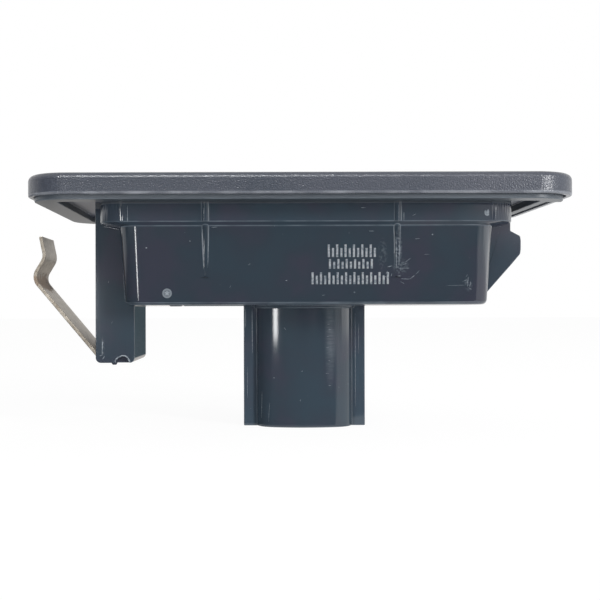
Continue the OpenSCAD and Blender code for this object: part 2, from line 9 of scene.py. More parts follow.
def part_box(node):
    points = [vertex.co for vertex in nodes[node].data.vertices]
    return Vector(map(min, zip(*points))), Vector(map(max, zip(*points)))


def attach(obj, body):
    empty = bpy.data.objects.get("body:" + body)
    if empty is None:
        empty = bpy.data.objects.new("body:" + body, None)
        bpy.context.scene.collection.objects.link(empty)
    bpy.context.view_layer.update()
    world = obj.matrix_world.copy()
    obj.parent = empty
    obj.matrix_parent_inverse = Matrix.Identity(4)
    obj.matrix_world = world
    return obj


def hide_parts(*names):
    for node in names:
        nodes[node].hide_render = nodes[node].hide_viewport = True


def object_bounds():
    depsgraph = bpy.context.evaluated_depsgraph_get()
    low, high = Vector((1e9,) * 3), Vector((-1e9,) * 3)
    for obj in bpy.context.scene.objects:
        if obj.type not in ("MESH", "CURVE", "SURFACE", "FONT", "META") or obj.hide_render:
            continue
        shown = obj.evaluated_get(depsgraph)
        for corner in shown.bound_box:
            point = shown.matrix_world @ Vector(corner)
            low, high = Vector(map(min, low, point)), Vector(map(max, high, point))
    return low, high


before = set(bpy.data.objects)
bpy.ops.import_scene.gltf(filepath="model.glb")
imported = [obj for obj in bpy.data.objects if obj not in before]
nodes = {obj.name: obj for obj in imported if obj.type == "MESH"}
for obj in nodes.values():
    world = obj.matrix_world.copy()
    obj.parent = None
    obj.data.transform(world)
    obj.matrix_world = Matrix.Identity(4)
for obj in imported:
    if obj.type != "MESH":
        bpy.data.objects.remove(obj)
cad_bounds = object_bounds()

# Camera: level, 160 mm in front of the flange, slightly left of the lamp's middle and just
# below the box, so that the underside of the flange shows. The lamp lies off the lens axis in
# the photo's frame, which the shift repeats.
CAMERA_AT = (-0.0073, -0.1834, -0.01809)
CAMERA_ROLL_DEG = 0.15
SHIFT_RIGHT_PX = 44
SHIFT_UP_PX = 11.5
FRAME_PX = 600

camera = bpy.data.objects.new("camera", bpy.data.cameras.new("camera"))
camera.data.sensor_width = 36
camera.data.lens = 60
camera.data.shift_x = SHIFT_RIGHT_PX / FRAME_PX
camera.data.shift_y = SHIFT_UP_PX / FRAME_PX
camera.data.clip_start = 0.01
camera.location = CAMERA_AT
camera.rotation_euler = (math.radians(90), math.radians(CAMERA_ROLL_DEG), 0)
bpy.context.scene.collection.objects.link(camera)
bpy.context.scene.camera = camera


# Housing: one injection moulding in black ABS from a polished tool, so its faces are glossy. It
# carries the flange, the box, the post for the clip, the catch and the plug socket. Its moulded
# edges are slightly rounded, and above the seat plane it is dull, as from an eroded tool.
MM = 0.001
MERGE_DIST = 1e-6
FLAT_DEG = 0.4
SMOOTH_DEG = 50

HOUSING_EDGE_R = 0.16 * MM
HOUSING_DARK = "343d47"
HOUSING_COOL = "333f49"
HOUSING_WARM = "393c48"
HOUSING_RIM_PAINTED_LIGHT = "474e56"
HOUSING_RECESS_PAINTED_LIGHT = "5c6270"
HOUSING_EDGE_HIGHLIGHT = "6e7881"
HOUSING_DUST = "7a828a"
HOUSING_BOX_PAINTED_SHADE = 0.78
HOUSING_WING_PAINTED_LIGHT = 1.3
HOUSING_POST_EDGE = 0.1
HOUSING_GLOSS = 0.1
HOUSING_ERODED = 0.38
HOUSING_SHEEN = 0.5
HOUSING_RECESS_SHEEN = 0.2
CLOUD_SIZE = 9 * MM
SPECK_SIZE = 0.45 * MM
HAIR_SIZE = 0.4 * MM
PATCH_SIZE = 4 * MM
PEEL_SIZE = 2.6 * MM
BAND_AT = (6 * MM, -5 * MM, -24 * MM)
BAND_REACH = (1.1 * MM, 3 * MM, 9 * MM)
SCORE_LENGTH = 1.6 * MM
SCORE_PITCH = 0.22 * MM
ERODED_FROM_Z = -0.15 * MM
ERODED_FULL_Z = -0.05 * MM
RIM_TOP_Z = 0.95 * MM
BOX_MIDDLE_Z = -10.35 * MM
BOX_HALF_H = 6.3 * MM
BOX_FADED_H = 6.6 * MM
BOX_FOOT_Z = -16.84 * MM
FOOT_LINE_H = 0.14 * MM
SOCKET_X = 1.5 * MM
WING_FROM = 8.9 * MM
WING_FULL = 9.4 * MM
WING_LIMIT = 14 * MM
UNDER_BOX_Z = -17.1 * MM
POST_LIMIT_X = -27 * MM
POST_LIMIT_Y = 12 * MM
POST_FOOT_Z = -25.8 * MM


def linear(hex_colour):
    """An sRGB hex colour as linear RGBA."""
    parts = [int(hex_colour[i:i + 2], 16) / 255 for i in (0, 2, 4)]
    return [p / 12.92 if p <= 0.04045 else ((p + 0.055) / 1.055) ** 2.4 for p in parts] + [1]


def add(tree, kind, settings=None, links=None):
    """A new shader node of a kind, with its settings (a ramp's stops, attributes or inputs)
    and its links."""
    node = tree.nodes.new(f"ShaderNode{kind}")
    for name, value in (settings or {}).items():
        if name == "stops":
            elements = node.color_ramp.elements
            elements.remove(elements[1])
            elements[0].position = value[0][0]
            elements[0].color = linear(value[0][1])
            for place, colour in value[1:]:
                elements.new(place).color = linear(colour)
        elif isinstance(name, str) and hasattr(node, name):
            setattr(node, name, value)
        else:
            node.inputs[name].default_value = value
    for name, output in (links or {}).items():
        tree.links.new(output.outputs[0] if hasattr(output, "outputs") else output, node.inputs[name])
    return node


def new_material(name):
    """An empty material, its node tree and its object coordinates."""
    material = bpy.data.materials.new(name)
    material.use_nodes = True
    material.node_tree.nodes.clear()
    coords = add(material.node_tree, "TexCoord")
    return material, material.node_tree, coords.outputs["Object"]


def softened(node, name, edge_r, limit_deg=28, segments=2):
    """A piece that stands for a CAD node: its mesh merged, with its edges rounded.

    The attribute "edge" is 1 along the crest of each rounded edge and 0 beside it."""
    mesh = nodes[node].data.copy()
    mesh.name = name
    bm = bmesh.new()
    bm.from_mesh(mesh)
    bmesh.ops.remove_doubles(bm, verts=bm.verts, dist=MERGE_DIST)
    bmesh.ops.dissolve_limit(bm, angle_limit=math.radians(FLAT_DEG), verts=bm.verts, edges=bm.edges)
    sharp = [e for e in bm.edges if len(e.link_faces) == 2
             and e.calc_face_angle() > math.radians(limit_deg)]
    rounded = bmesh.ops.bevel(bm, geom=sharp, offset=edge_r, offset_type="OFFSET", segments=segments,
                              profile=0.5, affect="EDGES", clamp_overlap=False, material=-1)
    rounding = set(rounded["faces"])
    crest = bm.verts.layers.float.new("edge")
    for vert in bm.verts:
        vert[crest] = float(all(face in rounding for face in vert.link_faces))
    for face in bm.faces:
        face.smooth = True
    for edge in bm.edges:
        edge.smooth = len(edge.link_faces) == 2 and edge.calc_face_angle() < math.radians(SMOOTH_DEG)
    bm.to_mesh(mesh)
    bm.free()
    mesh.materials.clear()
    piece = bpy.data.objects.new(name, mesh)
    bpy.context.scene.collection.objects.link(piece)
    weighting = piece.modifiers.new("face weighting", "WEIGHTED_NORMAL")
    weighting.keep_sharp = True
    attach(piece, "root")
    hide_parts(node)
    return piece


# Black ABS from a polished tool looks near-black and bluish, with a faint mottle, deep gloss and
# a slight orange peel that breaks up reflections. The seating rim is dull, and painted lighter
# against the shade under the bezel.
housing_abs, tree, place = new_material("glossy black ABS, moulded")
axes = add(tree, "SeparateXYZ", {}, {0: place})
eroded = add(tree, "MapRange", {"From Min": ERODED_FROM_Z, "From Max": ERODED_FULL_Z},
             {"Value": axes.outputs["Z"]})
below_recess = add(tree, "Math", {"operation": "LESS_THAN", 1: RIM_TOP_Z}, {0: axes.outputs["Z"]})
on_rim = add(tree, "Math", {"operation": "MULTIPLY"}, {0: eroded, 1: below_recess})
cloud = add(tree, "TexNoise", {"Scale": 1 / CLOUD_SIZE, "Detail": 3}, {"Vector": place})
tint = add(tree, "ValToRGB",
           {"stops": [(0.36, HOUSING_COOL), (0.5, HOUSING_DARK), (0.64, HOUSING_WARM)]}, {"Fac": cloud})
speck = add(tree, "TexNoise", {"Scale": 1 / SPECK_SIZE, "Detail": 1}, {"Vector": place})
dusty = add(tree, "MapRange", {"From Min": 0.8, "From Max": 0.83, "To Max": 0.34}, {"Value": speck})

# Rubbed places beside the right guide rib, near the right corner and at the foot of the post:
# the middle and the reach of each in millimetres, and how strong it is
hairs = add(tree, "TexNoise", {"Scale": 1 / HAIR_SIZE, "Detail": 4}, {"Vector": place})
frayed = add(tree, "MapRange", {"From Min": 0.46, "From Max": 0.62}, {"Value": hairs})
marred = dusty
for middle, reach, depth in [
    ((16.5, -16, -7.6), (0.75, 4, 4.2), 0.5), ((16.9, -16, -10.6), (1.5, 4, 1.5), 0.5),
    ((13.9, -16, -8.6), (0.9, 4, 3.0), 0.22), ((28.3, -16, -13.6), (0.8, 4, 1.3), 0.4),
    ((-34, -9, -24.3), (0.35, 2, 2.2), 0.5),
]:
    spot = add(tree, "Mapping", {"vector_type": "TEXTURE", "Location": [c * MM for c in middle],
                                 "Scale": [r * MM for r in reach]}, {"Vector": place})
    away = add(tree, "VectorMath", {"operation": "LENGTH"}, {0: spot})
    near = add(tree, "MapRange", {"From Min": 0.2, "From Max": 1, "To Min": depth, "To Max": 0},
               {"Value": away.outputs["Value"]})
    patch = add(tree, "Math", {"operation": "MULTIPLY"}, {0: near, 1: frayed})
    marred = add(tree, "Math", {"operation": "MAXIMUM"}, {0: marred, 1: patch})

# A soft band down the socket is scored across by fine lines
band = add(tree, "Mapping", {"vector_type": "TEXTURE", "Location": BAND_AT, "Scale": BAND_REACH},
           {"Vector": place})
off_band = add(tree, "VectorMath", {"operation": "LENGTH"}, {0: band})
on_band = add(tree, "MapRange", {"From Min": 0.1, "From Max": 1, "To Min": 0.34, "To Max": 0},
              {"Value": off_band.outputs["Value"]})
level = add(tree, "Mapping", {"Scale": (1 / SCORE_LENGTH, 1 / SCORE_LENGTH, 1 / SCORE_PITCH)},
            {"Vector": place})
lines = add(tree, "TexNoise", {"Scale": 1, "Detail": 2}, {"Vector": level})
scored = add(tree, "MapRange", {"From Min": 0.35, "From Max": 0.6, "To Min": 0.35}, {"Value": lines})
haze = add(tree, "Math", {"operation": "MULTIPLY"}, {0: on_band, 1: scored})
marred = add(tree, "Math", {"operation": "MAXIMUM"}, {0: marred, 1: haze})

# Painted shade: the box's own walls, clear of the post, are painted a tone darker than the rest
beside = add(tree, "Math", {"operation": "ABSOLUTE"}, {0: axes.outputs["Y"]})
off_post = add(tree, "Math", {"operation": "GREATER_THAN", 1: POST_LIMIT_Y}, {0: beside})
from_middle = add(tree, "Math", {"operation": "ADD", 1: -BOX_MIDDLE_Z}, {0: axes.outputs["Z"]})
up_or_down = add(tree, "Math", {"operation": "ABSOLUTE"}, {0: from_middle})
on_box = add(tree, "MapRange", {"From Min": BOX_HALF_H, "From Max": BOX_FADED_H, "To Min": 1, "To Max": 0},
             {"Value": up_or_down})
on_wall = add(tree, "Math", {"operation": "MULTIPLY"}, {0: on_box, 1: off_post})
shade = add(tree, "MapRange", {"To Min": 1, "To Max": HOUSING_BOX_PAINTED_SHADE}, {"Value": on_wall})

# Painted light: the socket's two wings are painted lighter than its oval body
from_socket = add(tree, "Math", {"operation": "SUBTRACT", 1: SOCKET_X}, {0: axes.outputs["X"]})
aside = add(tree, "Math", {"operation": "ABSOLUTE"}, {0: from_socket})
outside = add(tree, "MapRange", {"From Min": WING_FROM, "From Max": WING_FULL}, {"Value": aside})
inside = add(tree, "Math", {"operation": "LESS_THAN", 1: WING_LIMIT}, {0: aside})
under_box = add(tree, "Math", {"operation": "LESS_THAN", 1: UNDER_BOX_Z}, {0: axes.outputs["Z"]})
sideways = add(tree, "Math", {"operation": "MULTIPLY"}, {0: outside, 1: inside})
on_wing = add(tree, "Math", {"operation": "MULTIPLY"}, {0: sideways, 1: under_box})
painted_wing_light = add(tree, "MapRange", {"To Min": 1, "To Max": HOUSING_WING_PAINTED_LIGHT}, {"Value": on_wing})
shade = add(tree, "Math", {"operation": "MULTIPLY"}, {0: shade, 1: painted_wing_light})
deep = add(tree, "VectorMath", {"operation": "SCALE"}, {0: tint, "Scale": shade})

# Painted light: the recess inside the rim and the rim itself are painted lighter than the rest,
# to lift the shade under the bezel
recess_painted_light = add(tree, "Mix", {"data_type": "RGBA", 7: linear(HOUSING_RECESS_PAINTED_LIGHT)}, {0: eroded, 6: deep})
rim_painted_light = add(tree, "Mix", {"data_type": "RGBA", 7: linear(HOUSING_RIM_PAINTED_LIGHT)}, {0: on_rim, 6: recess_painted_light.outputs[2]})

# Painted highlight: edges, and the rounded foot of the box, are painted lighter here and there
crest = add(tree, "Attribute", {"attribute_name": "edge"})
off_foot = add(tree, "Math", {"operation": "SUBTRACT", 1: BOX_FOOT_Z}, {0: axes.outputs["Z"]})
from_foot = add(tree, "Math", {"operation": "ABSOLUTE"}, {0: off_foot})
on_foot = add(tree, "MapRange", {"From Max": FOOT_LINE_H, "To Min": 1, "To Max": 0}, {"Value": from_foot})
foot_line = add(tree, "Math", {"operation": "MULTIPLY"}, {0: on_foot, 1: off_post})
on_edge = add(tree, "Math", {"operation": "MAXIMUM"}, {0: crest.outputs["Fac"], 1: foot_line})

# The post's upright edges keep only a tenth of the painted edge highlight, so they stay dark
leftward = add(tree, "Math", {"operation": "LESS_THAN", 1: POST_LIMIT_X}, {0: axes.outputs["X"]})
over_foot = add(tree, "Math", {"operation": "GREATER_THAN", 1: POST_FOOT_Z}, {0: axes.outputs["Z"]})
near_post = add(tree, "Math", {"operation": "LESS_THAN", 1: POST_LIMIT_Y}, {0: beside})
left_and_up = add(tree, "Math", {"operation": "MULTIPLY"}, {0: leftward, 1: over_foot})
post_edge = add(tree, "Math", {"operation": "MULTIPLY"}, {0: left_and_up, 1: near_post})
kept = add(tree, "MapRange", {"To Min": 1, "To Max": HOUSING_POST_EDGE}, {"Value": post_edge})
on_edge = add(tree, "Math", {"operation": "MULTIPLY"}, {0: on_edge, 1: kept})
patchy = add(tree, "TexNoise", {"Scale": 1 / PATCH_SIZE, "Detail": 4}, {"Vector": place})
much = add(tree, "MapRange", {"From Min": 0.35, "From Max": 0.65, "To Min": 0.25, "To Max": 0.8},
           {"Value": patchy})
# The patchy edge mask lays on the painted highlight
rubbed = add(tree, "Math", {"operation": "MULTIPLY"}, {0: on_edge, 1: much})
edge_highlighted = add(tree, "Mix", {"data_type": "RGBA", 7: linear(HOUSING_EDGE_HIGHLIGHT)}, {0: rubbed, 6: rim_painted_light.outputs[2]})
dusted = add(tree, "Mix", {"data_type": "RGBA", 7: linear(HOUSING_DUST)}, {0: marred, 6: edge_highlighted.outputs[2]})
peel = add(tree, "TexNoise", {"Scale": 1 / PEEL_SIZE, "Detail": 3}, {"Vector": place})
relief = add(tree, "Bump", {"Strength": 0.1, "Distance": 0.02 * MM}, {"Height": peel})
dull = add(tree, "Math", {"operation": "MAXIMUM"}, {0: eroded, 1: marred})
gloss = add(tree, "MapRange", {"To Min": HOUSING_GLOSS, "To Max": HOUSING_ERODED}, {"Value": dull})

# Above the rim the sheen is lowered, to match the tone of the recess in the photo
sheen = add(tree, "MapRange", {"To Min": HOUSING_RECESS_SHEEN, "To Max": HOUSING_SHEEN},
            {"Value": below_recess})
shader = add(tree, "BsdfPrincipled", {"IOR": 1.5},
             {"Base Color": dusted.outputs[2], "Roughness": gloss, "Specular IOR Level": sheen,
              "Normal": relief})
add(tree, "OutputMaterial", {}, {"Surface": shader})

housing = softened("housing", "housing_moulding", HOUSING_EDGE_R)
housing.data.materials.append(housing_abs)


# Marks on the housing's front: the round witness of an ejector pin, scuffs, hairlines and
# scratches. The plastic whitens where it is rubbed or torn. Some pale lines are painted highlights.
WITNESS_X = -22.2 * MM
WITNESS_Z = -15 * MM
WITNESS_R = 0.85 * MM
WITNESS_T = 0.1 * MM
WITNESS_SLOPE = 0.06 * MM
WITNESS_RINGS = [(0.0, "5c656d"), (0.55, "4f5861"), (0.8, "6b747c"), (0.97, "525b64")]
WITNESS_STAR = "868e95"
STAR_POINTS = 5
STAR_IN_R = 0.12 * MM
STAR_OUT_R = 0.42 * MM
SCRATCH_T = 0.012 * MM
WHITENED = "8a929a"
WHITENED_DARK = "56606a"
FLECK_SIZE = 0.4 * MM
RAY_START_Y = -0.06

skin = BVHTree.FromPolygons([v.co for v in housing.data.vertices],
                            [p.vertices for p in housing.data.polygons])


def on_front(x, z, spin=0):
    """Turns a shape's Z outwards from the housing, and sets it where a line from the front lands."""
    spot, outward = skin.ray_cast(Vector((x, RAY_START_Y, z)), Vector((0, 1, 0)))[:2]
    across = Vector((0, 0, 1)).cross(outward).normalized()
    turn = Matrix((across, outward.cross(across), outward)).transposed().to_4x4()
    return Matrix.Translation(spot) @ turn @ Matrix.Rotation(spin, 4, "Z")


def new_piece(name, bm, material, smooth=True):
    """An object from a bmesh that rides with the lamp."""
    bmesh.ops.recalc_face_normals(bm, faces=bm.faces)
    for face in bm.faces:
        face.smooth = smooth
    mesh = bpy.data.meshes.new(name)
    bm.to_mesh(mesh)
    bm.free()
    mesh.materials.append(material)
    piece = bpy.data.objects.new(name, mesh)
    bpy.context.scene.collection.objects.link(piece)
    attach(piece, "root")


# Stress-whitened ABS looks matt, pale blue-grey and uneven; the same finish paints highlight lines
whitened_abs_and_highlights, tree, place = new_material("black ABS, rubbed and whitened")
fleck = add(tree, "TexNoise", {"Scale": 1 / FLECK_SIZE, "Detail": 3}, {"Vector": place})
tint = add(tree, "ValToRGB", {"stops": [(0.35, WHITENED_DARK), (0.62, WHITENED)]}, {"Fac": fleck})
shader = add(tree, "BsdfPrincipled", {"IOR": 1.5, "Roughness": 0.45}, {"Base Color": tint})
add(tree, "OutputMaterial", {}, {"Surface": shader})

# The pin's witness looks like a dull ring with a small pale star in its middle
witness_abs, tree, place = new_material("black ABS, pressed by an ejector pin")
centred = add(tree, "Mapping", {"Location": (-WITNESS_X, 0, -WITNESS_Z)}, {"Vector": place})
axes = add(tree, "SeparateXYZ", {}, {0: centred})
angle = add(tree, "Math", {"operation": "ARCTAN2"}, {0: axes.outputs["X"], 1: axes.outputs["Z"]})
points = add(tree, "Math", {"operation": "MULTIPLY", 1: STAR_POINTS}, {0: angle})
wave = add(tree, "Math", {"operation": "COSINE"}, {0: points})
star = add(tree, "MapRange", {"From Min": -1, "To Min": STAR_IN_R, "To Max": STAR_OUT_R}, {"Value": wave})
flat = add(tree, "CombineXYZ", {}, {"X": axes.outputs["X"], "Y": axes.outputs["Z"]})
reach = add(tree, "VectorMath", {"operation": "LENGTH"}, {0: flat})
rim_share = add(tree, "MapRange", {"From Max": WITNESS_R}, {"Value": reach.outputs["Value"]})
ring = add(tree, "ValToRGB", {"stops": WITNESS_RINGS}, {"Fac": rim_share})
inside = add(tree, "Math", {"operation": "LESS_THAN"}, {0: reach.outputs["Value"], 1: star})
tint = add(tree, "Mix", {"data_type": "RGBA", 7: linear(WITNESS_STAR)}, {0: inside, 6: ring})
shader = add(tree, "BsdfPrincipled", {"IOR": 1.5, "Roughness": 0.4}, {"Base Color": tint.outputs[2]})
add(tree, "OutputMaterial", {}, {"Surface": shader})

bm = bmesh.new()
bmesh.ops.create_cone(bm, cap_ends=True, segments=40, radius1=WITNESS_R, radius2=WITNESS_R - WITNESS_SLOPE,
                      depth=WITNESS_T)
bmesh.ops.transform(bm, matrix=on_front(WITNESS_X, WITNESS_Z), verts=bm.verts)
new_piece("pin_witness", bm, witness_abs, smooth=False)

# Each scratch: place along the lamp, height, length, width and angle, in millimetres and degrees
bm = bmesh.new()
for x, z, length, width, degrees in [
    # around the right guide rib: scratches, and upright lines on the rib that are painted highlights
    (18.1, -9.6, 1.2, 0.07, 36), (18.0, -10.9, 0.9, 0.06, 2), (17.6, -10.2, 0.8, 0.05, 20),
    (16.15, -8.3, 5.6, 0.1, 90), (16.4, -1.8, 3.0, 0.06, 90), (17.3, -2.4, 1.6, 0.08, 90),
    (15.1, -10.6, 0.8, 0.09, 14), (16.7, -12.2, 0.6, 0.09, 0), (17.7, -12.7, 1.4, 0.07, -3),
    (18.9, -12.4, 1.2, 0.05, 37), (19.8, -11.6, 1.0, 0.04, 45), (19.7, -6.0, 0.8, 0.05, 4),
    (22.2, -5.3, 0.25, 0.2, 20), (12.0, -4.7, 0.9, 0.06, 0), (14.6, -11.6, 0.5, 0.06, 60),
    (14.4, -12.3, 0.6, 0.05, -20), (17.2, -13.3, 0.9, 0.04, -25), (15.4, -12.0, 0.5, 0.07, 75),
    # beside the right corner
    (28.2, -13.2, 1.8, 0.06, 86), (28.6, -13.6, 1.2, 0.05, 80), (27.7, -13.0, 1.0, 0.05, 20),
    (26.2, -13.8, 3.4, 0.035, 1), (28.5, -14.3, 0.8, 0.04, -30), (28.0, -12.2, 0.5, 0.05, 60),
    # down the left guide rib: painted highlights along the rib
    (-16.05, -7.5, 6.6, 0.12, 90), (-15.3, -8.4, 5.0, 0.05, 90), (-15.9, -2.0, 2.4, 0.08, 90),
    # over the rest of the box
    (-25.6, -7.4, 0.3, 0.18, 20), (-14.2, -4.0, 1.1, 0.05, 3), (-8.4, -10.2, 0.5, 0.05, 30),
    (21.3, -8.6, 0.9, 0.03, 0), (4.0, -15.4, 0.6, 0.04, 12), (-11.6, -13.9, 0.5, 0.04, 75),
    (-2.2, -12.9, 0.3, 0.1, 0), (9.2, -14.9, 0.25, 0.08, 0), (-18.3, -6.3, 0.25, 0.1, 0),
    # on the collar: a painted reflection at its right end, an upright painted highlight, and scuffs
    (30.85, -1.75, 0.95, 0.4, 97), (31.15, -2.05, 0.66, 0.5, 0), (31.25, -1.62, 0.8, 0.4, 82),
    (-28.6, -1.8, 2.8, 0.07, 90), (-28.6, -2.7, 0.9, 0.14, 90), (10.6, -0.9, 0.9, 0.08, 0),
    (19.0, -2.1, 0.7, 0.05, 30),
    # on the post
    (-34.1, -24.4, 2.6, 0.1, 87), (-34.1, -23.6, 0.8, 0.14, 80), (-33.9, -26.1, 0.7, 0.12, 60),
    (-34.4, -25.7, 0.5, 0.08, 15), (-32.4, -19.9, 0.5, 0.04, 70), (-33.0, -12.9, 0.4, 0.04, 60),
    # on the socket: upright painted highlights on its wings, and fine scratches down its front
    (-9.2, -19.2, 3.8, 0.1, 90), (-8.0, -21.6, 8.6, 0.1, 90.3), (-8.9, -31.0, 6.0, 0.05, 90),
    (10.8, -27.0, 18.0, 0.07, 90), (11.4, -23.0, 6.0, 0.05, 89), (-2.1, -21.2, 0.7, 0.06, -50),
    (-4.1, -30.0, 0.3, 0.08, 0), (-6.3, -35.0, 5.0, 0.07, 88), (-5.0, -36.2, 3.6, 0.05, 86),
    (5.7, -20.4, 0.5, 0.04, 5), (5.9, -21.3, 0.6, 0.05, -4), (5.6, -22.6, 0.5, 0.04, 8),
    (5.5, -24.6, 0.6, 0.04, 0), (5.8, -26.9, 0.4, 0.04, -6), (5.4, -29.2, 0.6, 0.04, 3),
    (5.9, -31.4, 0.5, 0.05, 0), (0.9, -28.8, 0.3, 0.07, 20), (0.6, -34.0, 0.4, 0.05, 70),
]:
    made = bmesh.ops.create_icosphere(bm, subdivisions=2, radius=0.5)
    size = Matrix.Diagonal((length * MM, width * MM, 2 * SCRATCH_T, 1))
    spot = on_front(x * MM, z * MM, math.radians(degrees))
    bmesh.ops.transform(bm, matrix=spot @ size, verts=made["verts"])
new_piece("front_scratches_and_highlights", bm, whitened_abs_and_highlights)


# Gate: the runner was broken off in the notch at the foot of the post, which leaves a torn,
# whitened lip around the notch and a small peg of black ABS beside it.
GATE_X = -30.65 * MM
GATE_Y = -9 * MM
GATE_Z = -27 * MM
GATE_R = 1.25 * MM
TEAR_R = 0.13 * MM
TEAR_RAGGED = 0.14 * MM
TEAR_SIZE = 0.5 * MM
TEAR_SEED = 1
SEAM_DIST = 1e-7
PEG_X = -32.1 * MM
PEG_BACK_R = 0.34 * MM
PEG_R = 0.62 * MM
PEG_H = 0.5 * MM

bm = bmesh.new()
bmesh.ops.create_circle(bm, cap_ends=True, segments=8, radius=TEAR_R)
bmesh.ops.translate(bm, verts=bm.verts, vec=(GATE_X + GATE_R, GATE_Y, GATE_Z + 0.1 * MM))
bmesh.ops.spin(bm, geom=bm.verts[:] + bm.edges[:] + bm.faces[:], cent=(GATE_X, GATE_Y, GATE_Z),
               axis=(0, 1, 0), angle=-math.pi * 0.94, steps=28, use_merge=False)
bmesh.ops.remove_doubles(bm, verts=bm.verts, dist=SEAM_DIST)
# A set seed keeps the ragged edge the same in every run
noise.seed_set(TEAR_SEED)
for vert in bm.verts:
    vert.co += TEAR_RAGGED * noise.noise_vector(vert.co / TEAR_SIZE)
new_piece("gate_torn_lip", bm, whitened_abs_and_highlights)

bm = bmesh.new()
bmesh.ops.create_cone(bm, cap_ends=True, segments=16, radius1=PEG_BACK_R, radius2=PEG_R, depth=PEG_H)
bmesh.ops.bevel(bm, geom=bm.edges[:], offset=0.08 * MM, offset_type="OFFSET", segments=2, profile=0.5,
                affect="EDGES", clamp_overlap=True, material=-1)
bmesh.ops.translate(bm, verts=bm.verts, vec=(PEG_X, GATE_Y + 0.8 * MM, GATE_Z - 0.1 * MM))
new_piece("gate_peg", bm, housing_abs)


# Pad print on the front wall: three rows of plain upright ticks in pale grey ink. The ink is
# stamped on from a soft pad; the film is thin and worn at its edges.
PRINT_INK = "8b8f94"
PRINT_WORN = "5d666f"
PRINT_WEAR = 0.45 * MM
PRINT_T = 0.024 * MM
TICK_W = 0.34 * MM
TICK_PITCH = 0.7 * MM
SHORT_TICK = 0.72

# Worn ink looks matt and grey, with the dark plastic showing through here and there
print_ink, tree, place = new_material("pad-printed grey ink, worn")
wear = add(tree, "TexNoise", {"Scale": 1 / PRINT_WEAR, "Detail": 3}, {"Vector": place})
tint = add(tree, "ValToRGB", {"stops": [(0.4, PRINT_WORN), (0.55, PRINT_INK)]}, {"Fac": wear})
shader = add(tree, "BsdfPrincipled", {"IOR": 1.5, "Roughness": 0.5}, {"Base Color": tint})
add(tree, "OutputMaterial", {}, {"Surface": shader})

# Each row: its left and right end, its middle height and the height of its ticks, in millimetres
bm = bmesh.new()
for left, right, middle, tall in [
    (4.9, 13.0, -7.97, 2.1), (5.1, 12.3, -10.15, 1.6), (2.2, 15.4, -12.55, 2.0),
]:
    count = int((right - left) * MM / TICK_PITCH)
    for k in range(count + 1):
        made = bmesh.ops.create_cube(bm, size=1)
        high = tall * (1 if k % 2 == 0 else SHORT_TICK) * MM
        x = left * MM + k * TICK_PITCH
        spot = on_front(x, middle * MM - (tall * MM - high) / 2)
        size = Matrix.Diagonal((TICK_W, high, PRINT_T, 1))
        bmesh.ops.transform(bm, matrix=spot @ size, verts=made["verts"])
new_piece("printed_ticks", bm, print_ink, smooth=False)


# Terminals: two flat pins stamped from brass strip and tin plated, pressed through the floor
# of the box and soldered to the board.
PIN_EDGE_R = 0.08 * MM
TIN_DARK = "aaa596"
TIN_LIGHT = "cbc8be"
TIN_LINE_W = 0.12 * MM
TIN_LINE_L = 3 * MM

# Tinned brass looks pale and slightly yellow, with soft lines along the pin
tinned_brass, tree, place = new_material("tin-plated brass, stamped")
drawn = add(tree, "Mapping", {"Scale": (1 / TIN_LINE_W, 1 / TIN_LINE_W, 1 / TIN_LINE_L)}, {"Vector": place})
lines = add(tree, "TexNoise", {"Scale": 1, "Detail": 2}, {"Vector": drawn})
tint = add(tree, "ValToRGB", {"stops": [(0.3, TIN_DARK), (0.7, TIN_LIGHT)]}, {"Fac": lines})
relief = add(tree, "Bump", {"Strength": 0.2, "Distance": 0.01 * MM}, {"Height": lines})
shader = add(tree, "BsdfPrincipled", {"Metallic": 1, "Roughness": 0.3},
             {"Base Color": tint, "Normal": relief})
add(tree, "OutputMaterial", {}, {"Surface": shader})

for k in (1, 2):
    pin = softened(f"terminal_{k}", f"terminal_pin_{k}", PIN_EDGE_R)
    pin.data.materials.append(tinned_brass)


# Circuit board: glass-fibre laminate with white solder mask over copper areas, whose edges
# show through the mask as faint lines. Its routed edge is bare laminate.
BOARD_EDGE_R = 0.05 * MM
MASK_WHITE = "e6e9e4"
MASK_SHADE = "dde2dc"
COPPER_EDGE = "c9cfc8"
COPPER_GAP = 0.12 * MM
COPPER_L = 11 * MM
COPPER_W = 6 * MM
LAMINATE = "c3b287"
MASK_DEPTH = 0.06 * MM

# White mask looks smooth and satin, with the copper's outlines under it; the edge looks straw
board_mask, tree, place = new_material("white solder mask on laminate")
areas = add(tree, "TexBrick",
            {"Color1": linear(MASK_WHITE), "Color2": linear(MASK_SHADE), "Mortar": linear(COPPER_EDGE),
             "Scale": 1, "Mortar Size": COPPER_GAP, "Brick Width": COPPER_L, "Row Height": COPPER_W},
            {"Vector": place})
low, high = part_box("circuit_board")
axes = add(tree, "SeparateXYZ", {}, {0: place})
level = add(tree, "Math", {"operation": "SUBTRACT", 1: (low[2] + high[2]) / 2}, {0: axes.outputs["Z"]})
off_middle = add(tree, "Math", {"operation": "ABSOLUTE"}, {0: level})
on_face = add(tree, "Math", {"operation": "GREATER_THAN", 1: (high[2] - low[2]) / 2 - MASK_DEPTH},
              {0: off_middle})
tint = add(tree, "Mix", {"data_type": "RGBA", 6: linear(LAMINATE)}, {0: on_face, 7: areas})
relief = add(tree, "Bump", {"Strength": 0.3, "Distance": 0.03 * MM}, {"Height": areas.outputs["Fac"]})
shader = add(tree, "BsdfPrincipled", {"IOR": 1.5, "Roughness": 0.35},
             {"Base Color": tint.outputs[2], "Normal": relief})
add(tree, "OutputMaterial", {}, {"Surface": shader})

board = softened("circuit_board", "circuit_board_panel", BOARD_EDGE_R)
board.data.materials.append(board_mask)


